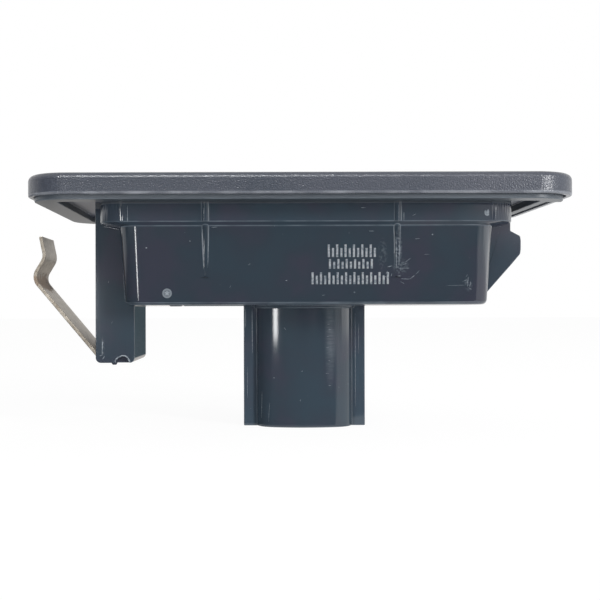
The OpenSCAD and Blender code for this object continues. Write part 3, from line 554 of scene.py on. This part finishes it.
# Solder joints: tin solder that has wetted each terminal and its copper ring, and has set as a
# hollow cone. They hold the terminals and carry the current into the board.
SOLDER_DARK = "b9bcc0"
SOLDER_LIGHT = "d4d6d8"
SOLDER_RIPPLE = 0.5 * MM
SOLDER_OVAL = 0.8

# Reflowed tin looks bright and silvery, with a faintly rippled skin
solder, tree, place = new_material("tin solder, reflowed")
ripple = add(tree, "TexNoise", {"Scale": 1 / SOLDER_RIPPLE, "Detail": 2}, {"Vector": place})
tint = add(tree, "ValToRGB", {"stops": [(0.3, SOLDER_DARK), (0.7, SOLDER_LIGHT)]}, {"Fac": ripple})
relief = add(tree, "Bump", {"Strength": 0.2, "Distance": 0.04 * MM}, {"Height": ripple})
shader = add(tree, "BsdfPrincipled", {"Metallic": 1, "Roughness": 0.22},
             {"Base Color": tint, "Normal": relief})
add(tree, "OutputMaterial", {}, {"Surface": shader})

board_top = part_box("circuit_board")[1][2]
for k in (1, 2):
    low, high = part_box(f"terminal_{k}")
    at = Vector(((low[0] + high[0]) / 2, (low[1] + high[1]) / 2, board_top))
    bm = bmesh.new()
    outline = [bm.verts.new((r * MM, 0, z * MM)) for r, z in [
        (0, -0.02), (1.3, -0.02), (1.27, 0.06), (1.05, 0.16), (0.92, 0.36), (0.86, 0.7), (0.5, 0.78),
        (0, 0.8)]]
    for a, b in zip(outline, outline[1:]):
        bm.edges.new((a, b))
    bmesh.ops.spin(bm, geom=bm.verts[:] + bm.edges[:], cent=(0, 0, 0), axis=(0, 0, 1),
                   angle=2 * math.pi, steps=28, use_merge=True)
    bmesh.ops.remove_doubles(bm, verts=bm.verts, dist=SEAM_DIST)
    bmesh.ops.scale(bm, vec=(1, SOLDER_OVAL, 1), verts=bm.verts)
    bmesh.ops.translate(bm, vec=at, verts=bm.verts)
    new_piece(f"solder_joint_{k}", bm, solder)


# Light-emitting diodes: white moulded packages with a round cup, filled with a silicone gel
# that holds yellow phosphor. They are soldered flat on the board, under the lens.
LED_EDGE_R = 0.06 * MM
LED_WHITE = "f2f0e9"
LED_SHADE = "e9e7de"
LED_FLECK = 0.3 * MM
PHOSPHOR_DARK = "d9a915"
PHOSPHOR_LIGHT = "f0c83a"
PHOSPHOR_GRAIN = 0.18 * MM
PHOSPHOR_R = 1.12 * MM
PHOSPHOR_SINK = 0.12 * MM
PHOSPHOR_FLAT = 0.12

# Moulded PPA looks warm white and satin
led_white, tree, place = new_material("white PPA, moulded")
fleck = add(tree, "TexNoise", {"Scale": 1 / LED_FLECK, "Detail": 2}, {"Vector": place})
tint = add(tree, "ValToRGB", {"stops": [(0.3, LED_SHADE), (0.7, LED_WHITE)]}, {"Fac": fleck})
shader = add(tree, "BsdfPrincipled", {"IOR": 1.5, "Roughness": 0.4}, {"Base Color": tint})
add(tree, "OutputMaterial", {}, {"Surface": shader})

# Phosphor gel looks glossy and egg-yolk yellow, with fine grains in it
phosphor_gel, tree, place = new_material("phosphor silicone, cured")
grain = add(tree, "TexNoise", {"Scale": 1 / PHOSPHOR_GRAIN, "Detail": 2}, {"Vector": place})
tint = add(tree, "ValToRGB", {"stops": [(0.3, PHOSPHOR_DARK), (0.7, PHOSPHOR_LIGHT)]}, {"Fac": grain})
shader = add(tree, "BsdfPrincipled", {"IOR": 1.41, "Roughness": 0.15}, {"Base Color": tint})
add(tree, "OutputMaterial", {}, {"Surface": shader})

for k in (1, 2, 3, 4):
    low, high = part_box(f"led_{k}")
    middle = ((low[0] + high[0]) / 2, (low[1] + high[1]) / 2, high[2] - PHOSPHOR_SINK)
    led = softened(f"led_{k}", f"led_package_{k}", LED_EDGE_R)
    led.data.materials.append(led_white)
    bm = bmesh.new()
    bmesh.ops.create_uvsphere(bm, u_segments=32, v_segments=12, radius=PHOSPHOR_R)
    bmesh.ops.scale(bm, vec=(1, 1, PHOSPHOR_FLAT), verts=bm.verts)
    bmesh.ops.translate(bm, vec=middle, verts=bm.verts)
    new_piece(f"phosphor_{k}", bm, phosphor_gel)


# Chip resistors: small blocks of ceramic whose resistive film lies under a black glaze, with
# tinned caps at both ends by which they are soldered to the board.
CHIP_EDGE_R = 0.05 * MM
CHIP_BARE_HALF_L = 1.12 * MM
GLAZE_DARK = "18191b"
GLAZE_LIGHT = "26282a"
GLAZE_FLECK = 0.25 * MM

# Fired glaze looks black and glossy
black_glaze, tree, place = new_material("black glaze on ceramic")
fleck = add(tree, "TexNoise", {"Scale": 1 / GLAZE_FLECK, "Detail": 2}, {"Vector": place})
tint = add(tree, "ValToRGB", {"stops": [(0.3, GLAZE_DARK), (0.7, GLAZE_LIGHT)]}, {"Fac": fleck})
shader = add(tree, "BsdfPrincipled", {"IOR": 1.5, "Roughness": 0.25}, {"Base Color": tint})
add(tree, "OutputMaterial", {}, {"Surface": shader})


def split_finish(piece, second, chosen):
    """Gives a second finish to the faces whose middle passes the test."""
    piece.data.materials.append(second)
    for polygon in piece.data.polygons:
        if chosen(polygon.center):
            polygon.material_index = 1


for k in (1, 2, 3, 4):
    low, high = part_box(f"resistor_{k}")
    chip = softened(f"resistor_{k}", f"chip_resistor_{k}", CHIP_EDGE_R)
    chip.data.materials.append(black_glaze)
    middle = (low[0] + high[0]) / 2
    split_finish(chip, solder, lambda c: abs(c.x - middle) > CHIP_BARE_HALF_L)


# Protection diode: a black epoxy body, transfer moulded round the chip, with a painted band at
# its cathode. It stands on two tinned feet that are soldered to the board.
DIODE_EDGE_R = 0.1 * MM
DIODE_BODY_HALF_L = 2.15 * MM
DIODE_BAND_X = -1.35 * MM
DIODE_BAND_HALF_W = 0.3 * MM
DIODE_BAND = "a9acad"
EPOXY_DARK = "1d1d1f"
EPOXY_LIGHT = "2b2b2d"
EPOXY_GRAIN = 0.2 * MM

# Moulded epoxy looks black, matt and finely pitted; the band is plain pale grey
low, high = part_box("diode")
diode_x = (low[0] + high[0]) / 2
black_epoxy, tree, place = new_material("black epoxy, transfer moulded")
fleck = add(tree, "TexNoise", {"Scale": 1 / EPOXY_GRAIN, "Detail": 3}, {"Vector": place})
body = add(tree, "ValToRGB", {"stops": [(0.3, EPOXY_DARK), (0.7, EPOXY_LIGHT)]}, {"Fac": fleck})
axes = add(tree, "SeparateXYZ", {}, {0: place})
offset = add(tree, "Math", {"operation": "SUBTRACT", 1: diode_x + DIODE_BAND_X}, {0: axes.outputs["X"]})
apart = add(tree, "Math", {"operation": "ABSOLUTE"}, {0: offset})
band = add(tree, "Math", {"operation": "LESS_THAN", 1: DIODE_BAND_HALF_W}, {0: apart})
tint = add(tree, "Mix", {"data_type": "RGBA", 7: linear(DIODE_BAND)}, {0: band, 6: body})
relief = add(tree, "Bump", {"Strength": 0.3, "Distance": 0.02 * MM}, {"Height": fleck})
shader = add(tree, "BsdfPrincipled", {"IOR": 1.5, "Roughness": 0.5},
             {"Base Color": tint.outputs[2], "Normal": relief})
add(tree, "OutputMaterial", {}, {"Surface": shader})

diode = softened("diode", "moulded_diode", DIODE_EDGE_R)
diode.data.materials.append(black_epoxy)
split_finish(diode, solder, lambda c: abs(c.x - diode_x) > DIODE_BODY_HALF_L)


# Can capacitor: a deep-drawn aluminium can, inked black over its negative side, and crimped on
# a black base by which it is soldered to the board.
CAN_EDGE_R = 0.25 * MM
CAN_BASE_H = 1.01 * MM
CAN_INK = "202124"
CAN_INK_X = -1.2 * MM
CAN_DARK = "bfc2c6"
CAN_LIGHT = "d7d9dc"
CAN_LINE_W = 0.2 * MM
CAN_LINE_L = 4 * MM

# Drawn aluminium looks bright, with soft lines up its side; the ink looks black and satin
low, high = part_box("capacitor")
can_x = (low[0] + high[0]) / 2
can_aluminium, tree, place = new_material("aluminium, deep drawn and inked")
drawn = add(tree, "Mapping", {"Scale": (1 / CAN_LINE_W, 1 / CAN_LINE_W, 1 / CAN_LINE_L)}, {"Vector": place})
lines = add(tree, "TexNoise", {"Scale": 1, "Detail": 2}, {"Vector": drawn})
metal = add(tree, "ValToRGB", {"stops": [(0.3, CAN_DARK), (0.7, CAN_LIGHT)]}, {"Fac": lines})
axes = add(tree, "SeparateXYZ", {}, {0: place})
inked = add(tree, "Math", {"operation": "LESS_THAN", 1: can_x + CAN_INK_X}, {0: axes.outputs["X"]})
tint = add(tree, "Mix", {"data_type": "RGBA", 7: linear(CAN_INK)}, {0: inked, 6: metal})
bare = add(tree, "Math", {"operation": "SUBTRACT", 0: 1}, {1: inked})
shader = add(tree, "BsdfPrincipled", {"Roughness": 0.3}, {"Base Color": tint.outputs[2], "Metallic": bare})
add(tree, "OutputMaterial", {}, {"Surface": shader})

can = softened("capacitor", "can_capacitor", CAN_EDGE_R, segments=3)
can.data.materials.append(can_aluminium)
base_top = low[2] + CAN_BASE_H
split_finish(can, black_epoxy, lambda c: c.z < base_top)


# Board screws: two pan-head screws of steel, cold headed and zinc plated. They are driven into
# the bosses of the housing and hold the board down.
SCREW_EDGE_R = 0.18 * MM
SCREW_DARK = "a9adb2"
SCREW_LIGHT = "c6c9cc"
SCREW_MOTTLE = 0.4 * MM

# Zinc plate looks bluish silver, with a fine cloudy mottle
zinc_steel, tree, place = new_material("zinc-plated steel, cold headed")
mottle = add(tree, "TexNoise", {"Scale": 1 / SCREW_MOTTLE, "Detail": 3}, {"Vector": place})
tint = add(tree, "ValToRGB", {"stops": [(0.3, SCREW_DARK), (0.7, SCREW_LIGHT)]}, {"Fac": mottle})
relief = add(tree, "Bump", {"Strength": 0.25, "Distance": 0.02 * MM}, {"Height": mottle})
shader = add(tree, "BsdfPrincipled", {"Metallic": 1, "Roughness": 0.32},
             {"Base Color": tint, "Normal": relief})
add(tree, "OutputMaterial", {}, {"Surface": shader})

screws = softened("board_screws", "pan_head_screws", SCREW_EDGE_R, segments=3)
screws.data.materials.append(zinc_steel)


# Reflector: a frame moulded in white PBT. It stands on the board round the diodes and throws
# their light out through the lens.
REFLECTOR_EDGE_R = 0.1 * MM
REFLECTOR_WHITE = "f0f0ec"
REFLECTOR_SHADE = "e6e6e0"
REFLECTOR_FLOW = 6 * MM
REFLECTOR_GRAIN = 0.3 * MM

# Moulded PBT looks white and satin, with faint flow marks and a fine skin
white_pbt, tree, place = new_material("white PBT, moulded")
flow = add(tree, "TexNoise", {"Scale": 1 / REFLECTOR_FLOW, "Detail": 3}, {"Vector": place})
tint = add(tree, "ValToRGB", {"stops": [(0.3, REFLECTOR_SHADE), (0.7, REFLECTOR_WHITE)]}, {"Fac": flow})
fine = add(tree, "TexNoise", {"Scale": 1 / REFLECTOR_GRAIN, "Detail": 2}, {"Vector": place})
relief = add(tree, "Bump", {"Strength": 0.15, "Distance": 0.03 * MM}, {"Height": fine})
shader = add(tree, "BsdfPrincipled", {"IOR": 1.5, "Roughness": 0.45}, {"Base Color": tint, "Normal": relief})
add(tree, "OutputMaterial", {}, {"Surface": shader})

reflector = softened("reflector", "reflector_frame", REFLECTOR_EDGE_R)
reflector.data.materials.append(white_pbt)


# Lens seal: a flat ring cut from black EPDM rubber sheet. It lies on its seat in the housing
# and is squeezed under the lens.
SEAL_EDGE_R = 0.08 * MM
RUBBER_DARK = "151617"
RUBBER_LIGHT = "222324"
RUBBER_GRAIN = 0.25 * MM

# Rubber sheet looks black and dull, with a fine grain
seal_rubber, tree, place = new_material("black EPDM rubber, cut sheet")
grain = add(tree, "TexNoise", {"Scale": 1 / RUBBER_GRAIN, "Detail": 3}, {"Vector": place})
tint = add(tree, "ValToRGB", {"stops": [(0.3, RUBBER_DARK), (0.7, RUBBER_LIGHT)]}, {"Fac": grain})
relief = add(tree, "Bump", {"Strength": 0.3, "Distance": 0.03 * MM}, {"Height": grain})
shader = add(tree, "BsdfPrincipled", {"IOR": 1.5, "Roughness": 0.75}, {"Base Color": tint, "Normal": relief})
add(tree, "OutputMaterial", {}, {"Surface": shader})

seal = softened("lens_seal", "lens_seal_ring", SEAL_EDGE_R)
seal.data.materials.append(seal_rubber)


# Lens: clear polycarbonate, injection moulded, smooth outside, with flutes on its inner side
# that spread the light. It is held down by the bezel.
LENS_EDGE_R = 0.12 * MM
LENS_COOL = "f0f5f7"
LENS_CLEAR = "f8fafa"
LENS_WAVE = 7 * MM
LENS_HAZE = 1.2 * MM

# Moulded polycarbonate looks water clear, with a faint cool cast and a slight waviness
clear_pc, tree, place = new_material("clear polycarbonate, moulded")
wave = add(tree, "TexNoise", {"Scale": 1 / LENS_WAVE, "Detail": 2}, {"Vector": place})
tint = add(tree, "ValToRGB", {"stops": [(0.3, LENS_COOL), (0.7, LENS_CLEAR)]}, {"Fac": wave})
relief = add(tree, "Bump", {"Strength": 0.1, "Distance": 0.05 * MM}, {"Height": wave})
haze = add(tree, "TexNoise", {"Scale": 1 / LENS_HAZE, "Detail": 3}, {"Vector": place})
dull = add(tree, "MapRange", {"To Min": 0.01, "To Max": 0.06}, {"Value": haze})
shader = add(tree, "BsdfPrincipled", {"IOR": 1.585, "Transmission Weight": 1},
             {"Base Color": tint, "Normal": relief, "Roughness": dull})
add(tree, "OutputMaterial", {}, {"Surface": shader})

lens = softened("lens", "lens_window", LENS_EDGE_R)
lens.data.materials.append(clear_pc)


# Bezel: the frame that stays in sight on the car, moulded in black ABS in a tool with a fine
# spark-eroded grain, so it is satin and greyer than the housing. It snaps over the flange.
BEZEL_EDGE_R = 0.1 * MM
BEZEL_DARK = "3a404a"
BEZEL_LIGHT = "464953"
BEZEL_PAINTED_HIGHLIGHT = "878b92"
BEZEL_CLOUD = 22 * MM
BEZEL_GRAIN = 0.27 * MM
BEZEL_GRAIN_H = 0.064 * MM
BEZEL_PATCH = 5 * MM
BEZEL_FOOT_Z = 0.75 * MM
BEZEL_HIGHLIGHT_H = 0.28 * MM
BEZEL_HIGHLIGHT_END_H = 0.5 * MM

# Eroded ABS looks dark grey and finely grained, and glitters under a lamp. The lower edge carries
# a painted highlight, lighter in patches.
bezel_abs, tree, place = new_material("satin black ABS, spark-eroded grain")
cloud = add(tree, "TexNoise", {"Scale": 1 / BEZEL_CLOUD, "Detail": 2}, {"Vector": place})
tint = add(tree, "ValToRGB", {"stops": [(0.3, BEZEL_DARK), (0.7, BEZEL_LIGHT)]}, {"Fac": cloud})
grain = add(tree, "TexNoise", {"Scale": 1 / BEZEL_GRAIN, "Detail": 2}, {"Vector": place})
lively = add(tree, "MapRange", {"From Min": 0.3, "From Max": 0.7, "To Min": 0.88, "To Max": 1.14},
             {"Value": grain})
grained = add(tree, "VectorMath", {"operation": "SCALE"}, {0: tint, "Scale": lively})
axes = add(tree, "SeparateXYZ", {}, {0: place})
above = add(tree, "MapRange",
            {"From Min": BEZEL_FOOT_Z + BEZEL_HIGHLIGHT_H, "From Max": BEZEL_FOOT_Z + BEZEL_HIGHLIGHT_END_H,
             "To Min": 1, "To Max": 0}, {"Value": axes.outputs["Z"]})
patchy = add(tree, "TexNoise", {"Scale": 1 / BEZEL_PATCH, "Detail": 4}, {"Vector": place})
where = add(tree, "MapRange", {"From Min": 0.4, "From Max": 0.62, "To Min": 0.3, "To Max": 0.85},
            {"Value": patchy})
# Painted highlight along the lower edge, in patches
rubbed = add(tree, "Math", {"operation": "MULTIPLY"}, {0: above, 1: where})
worn = add(tree, "Mix", {"data_type": "RGBA", 7: linear(BEZEL_PAINTED_HIGHLIGHT)}, {0: rubbed, 6: grained})
relief = add(tree, "Bump", {"Strength": 1, "Distance": BEZEL_GRAIN_H}, {"Height": grain})
shader = add(tree, "BsdfPrincipled", {"IOR": 1.5, "Roughness": 0.27},
             {"Base Color": worn.outputs[2], "Normal": relief})
add(tree, "OutputMaterial", {}, {"Surface": shader})

bezel = softened("bezel", "bezel_moulding", BEZEL_EDGE_R)
bezel.data.materials.append(bezel_abs)


# Spring clip: a strip of spring steel, cut and folded in a press and zinc plated. It hooks
# over the post, and its nose, which rubs on the car, has worn through to brown rust.
CLIP_EDGE_R = 0.06 * MM
CLIP_DARK = "8a8277"
CLIP_LIGHT = "b6afa4"
CLIP_RUST = "8a7868"
CLIP_NOSE = (-46.3 * MM, 0, -13 * MM)
CLIP_RUST_R = 2 * MM
CLIP_BLOTCH_L = 0.9 * MM
CLIP_BLOTCH_W = 0.35 * MM
RUST_ACROSS = 0.3
RUST_RAGGED = 0.9 * MM
RUST_WANDER = 0.7 * MM
RUST_FADE = 0.6 * MM

# Plated steel looks warm grey and blotched, with a half-dull shine; rust looks brown and matt
clip_steel, tree, place = new_material("zinc-plated spring steel, folded")
rolled = add(tree, "Mapping", {"Scale": (1 / CLIP_BLOTCH_L, 1 / CLIP_BLOTCH_W, 1 / CLIP_BLOTCH_L)},
             {"Vector": place})
blotch = add(tree, "TexNoise", {"Scale": 1, "Detail": 4}, {"Vector": rolled})
zinc = add(tree, "ValToRGB", {"stops": [(0.32, CLIP_DARK), (0.7, CLIP_LIGHT)]}, {"Fac": blotch})
away = add(tree, "VectorMath", {"operation": "SUBTRACT", 1: CLIP_NOSE}, {0: place})
level = add(tree, "VectorMath", {"operation": "MULTIPLY", 1: (1, RUST_ACROSS, 1)}, {0: away})
reach = add(tree, "VectorMath", {"operation": "LENGTH"}, {0: level})
ragged = add(tree, "TexNoise", {"Scale": 1 / RUST_RAGGED, "Detail": 4}, {"Vector": place})
wander = add(tree, "MapRange",
             {"From Min": 0.3, "From Max": 0.7, "To Min": -RUST_WANDER, "To Max": RUST_WANDER},
             {"Value": ragged})
edge = add(tree, "Math", {"operation": "ADD"}, {0: reach.outputs["Value"], 1: wander})
rust = add(tree, "MapRange", {"From Min": CLIP_RUST_R - RUST_FADE, "From Max": CLIP_RUST_R,
                              "To Min": 0.85, "To Max": 0}, {"Value": edge})
tint = add(tree, "Mix", {"data_type": "RGBA", 7: linear(CLIP_RUST)}, {0: rust, 6: zinc})
metal = add(tree, "MapRange", {"To Min": 1, "To Max": 0.35}, {"Value": rust})
dull = add(tree, "MapRange", {"To Min": 0.45, "To Max": 0.75}, {"Value": rust})
relief = add(tree, "Bump", {"Strength": 0.25, "Distance": 0.04 * MM}, {"Height": blotch})
shader = add(tree, "BsdfPrincipled", {},
             {"Base Color": tint.outputs[2], "Metallic": metal, "Roughness": dull, "Normal": relief})
add(tree, "OutputMaterial", {}, {"Surface": shader})

clip = softened("spring_clip", "spring_steel_clip", CLIP_EDGE_R, limit_deg=50)
clip.data.materials.append(clip_steel)


# Stage: the lamp stands on the end of its socket on a white table in a white room. Dark cards
# that only reflections see keep the glossy plastic dark, as in a photographer's tent.
ROOM_LIGHT = 0.45
TABLE_REACH = 3
TABLE_GLOW = 1.06
TABLE_SHARE = 0.5
TABLE_SHOWN = 0.88
CARD_BLACK = "1f2122"
CARD_DARK = "242628"
CARD_TOP = 0.3
NEAR_R = 0.64
FAR_R = 0.8
LEFT_R = 0.7
CARD_LIFT = 0.0004


def shows_white(tree):
    """1 for the rays of the camera, of reflections and of glass."""
    path = add(tree, "LightPath")
    either = add(tree, "Math", {"operation": "MAXIMUM"},
                 {0: path.outputs["Is Camera Ray"], 1: path.outputs["Is Glossy Ray"]})
    return add(tree, "Math", {"operation": "MAXIMUM"},
               {0: either, 1: path.outputs["Is Transmission Ray"]})


world = bpy.data.worlds.new("white room")
world.use_nodes = True
world.node_tree.nodes.clear()
tree = world.node_tree
strength = add(tree, "MapRange", {"To Min": ROOM_LIGHT, "To Max": 1}, {"Value": shows_white(tree)})
sky = add(tree, "Background", {"Color": (1, 1, 1, 1)}, {"Strength": strength})
add(tree, "OutputWorld", {}, {"Surface": sky})
bpy.context.scene.world = world

# A light table of white paper looks even and shadowless, lit from below
floor_white, tree = new_material("white table top, lit")[:2]
matt = add(tree, "BsdfPrincipled",
           {"Base Color": (0.9, 0.9, 0.9, 1), "Roughness": 0.6, "Specular IOR Level": 0})
glow = add(tree, "Emission", {"Color": (1, 1, 1, 1), "Strength": TABLE_GLOW})
share = add(tree, "MapRange", {"To Min": TABLE_SHARE, "To Max": TABLE_SHOWN}, {"Value": shows_white(tree)})
both = add(tree, "MixShader", {}, {"Fac": share, 1: matt, 2: glow})
add(tree, "OutputMaterial", {}, {"Surface": both})


def stage_sheet(name, corners, material):
    """A flat sheet of the stage through its corners."""
    bm = bmesh.new()
    bm.faces.new([bm.verts.new(c) for c in corners])
    mesh = bpy.data.meshes.new(name)
    bm.to_mesh(mesh)
    bm.free()
    mesh.materials.append(material)
    sheet = bpy.data.objects.new(name, mesh)
    bpy.context.scene.collection.objects.link(sheet)
    return sheet


def card(name, corners, colour, tones=None):
    """A card that only reflections see, of one colour or with tones that run along the lamp."""
    material, tree, place = new_material(f"{name} board")
    glow = add(tree, "Emission", {"Color": linear(colour), "Strength": 1})
    if tones:
        first, last = tones[0][0], tones[-1][0]
        along = add(tree, "SeparateXYZ", {}, {0: place})
        share = add(tree, "MapRange", {"From Min": first, "From Max": last}, {"Value": along.outputs["X"]})
        ramp = add(tree, "ValToRGB",
                   {"stops": [((x - first) / (last - first), tone) for x, tone in tones]}, {"Fac": share})
        tree.links.new(ramp.outputs["Color"], glow.inputs["Color"])
    add(tree, "OutputMaterial", {}, {"Surface": glow})
    sheet = stage_sheet(name, corners, material)
    sheet.visible_camera = False
    sheet.visible_diffuse = False
    sheet.visible_shadow = False
    sheet.visible_transmission = False


def around(degrees, distance, z):
    """A point around the lamp; 0 degrees is in front of it and 90 to its right."""
    return (distance * math.sin(math.radians(degrees)), -distance * math.cos(math.radians(degrees)), z)


def upright(start, start_r, end, end_r, bottom, top):
    """The corners of an upright card between two directions around the lamp."""
    return [around(start, start_r, bottom), around(end, end_r, bottom),
            around(end, end_r, top), around(start, start_r, top)]


floor_z = cad_bounds[0][2]
stage_sheet("table", [(-TABLE_REACH, -TABLE_REACH, floor_z), (TABLE_REACH, -TABLE_REACH, floor_z),
                      (TABLE_REACH, TABLE_REACH, floor_z), (-TABLE_REACH, TABLE_REACH, floor_z)], floor_white)

# Cards stand in front, at the left and low at the right, and a grey one stands over the horizon
# for the catch. The front card has paler tones, each at its place along X.
low_z = floor_z + CARD_LIFT
HORIZON = camera.location.z
card("card_front", upright(-40, FAR_R, 14.5, NEAR_R, low_z, CARD_TOP), CARD_BLACK,
     [(-0.52, CARD_BLACK), (-0.26, CARD_BLACK), (-0.17, "6a6c6e"), (-0.1, "666869"), (-0.04, CARD_BLACK),
      (0.06, CARD_BLACK), (0.11, "606264"), (0.162, "7e8082")])
card("card_left", upright(-84, LEFT_R, -40, FAR_R, low_z, CARD_TOP), CARD_BLACK)
card("card_low_right", upright(14.5, NEAR_R, 35, NEAR_R, low_z, HORIZON), CARD_DARK)
card("card_catch", upright(14.5, NEAR_R, 24, NEAR_R, HORIZON, 0.036), "707274")

# Two fans lie on the table: a dark one from the socket's foot forwards, whose right edge is bent
# so that the box's corner and the socket's right side mirror white, and a pale one behind. A
# grey card stands behind the lamp.
card("card_table", [(0.0072, -0.0045, low_z), (-0.009, 0.002, low_z)]
     + [around(a, 0.62, low_z) for a in range(-135, 26, 8)]
     + [around(25, 0.5, low_z), around(37, 0.3, low_z)], CARD_DARK)
card("card_table_back", [around(168, 0.0021, low_z)]
     + [around(a, 0.6, low_z) for a in range(168, 226, 8)], "d8d4d0")
card("card_back", [(-0.035, 0.2, low_z), (0.03, 0.2, low_z),
                   (0.03, 0.2, HORIZON + 0.004), (-0.035, 0.2, HORIZON + 0.004)], "4e5c62")


def area_light(name, at, aim, size, watts, gloss=True, diffuse=True):
    """A rectangular soft light at a place, turned to face the aim."""
    lamp = bpy.data.lights.new(name, "AREA")
    lamp.shape = "RECTANGLE"
    lamp.size, lamp.size_y = size
    lamp.energy = watts
    light = bpy.data.objects.new(name, lamp)
    light.location = at
    light.rotation_euler = (Vector(aim) - Vector(at)).to_track_quat("-Z", "Y").to_euler()
    bpy.context.scene.collection.objects.link(light)
    light.visible_camera = False
    light.visible_glossy = gloss
    light.visible_diffuse = diffuse


# A soft key from the right and a fill from the front light the plastic, unseen in reflections.
# The softbox glints on the bezel's right corner. The panels, the overhead lights and the strip,
# which glints on the box and the socket, are only mirrored.
area_light("key", (0.42, -0.45, 0.42), (0, 0, 0), (0.25, 0.25), 0.75, gloss=False)
area_light("front_fill", (-0.12, -0.7, 0.01), (0, 0, -0.015), (0.6, 0.09), 1.5, gloss=False)
area_light("softbox_right", (0.417, -0.49, 0.16), (0.04, -0.02, 0), (0.075, 0.19), 2.3)
area_light("panel_right", (0.37, -0.52, 0.045), (0.03, -0.02, 0), (0.36, 0.06), 0.08, diffuse=False)
area_light("panel_low_right", (0.5, 0.02, -0.019), (0.01, 0, -0.019), (0.6, 0.034), 0.09, diffuse=False)
area_light("strip", (-0.059, -0.104, -0.0175), (-0.015, -0.014, -0.0175), (0.0095, 0.019), 0.0118,
           diffuse=False)
area_light("overhead", (0.05, -0.5, 0.36), (0, 0, 0), (0.4, 0.02), 0.7, diffuse=False)
area_light("overhead_left", (-0.11, -0.5, 0.355), (-0.03, 0, 0), (0.075, 0.018), 2, diffuse=False)

bpy.context.scene.view_settings.view_transform = "Standard"
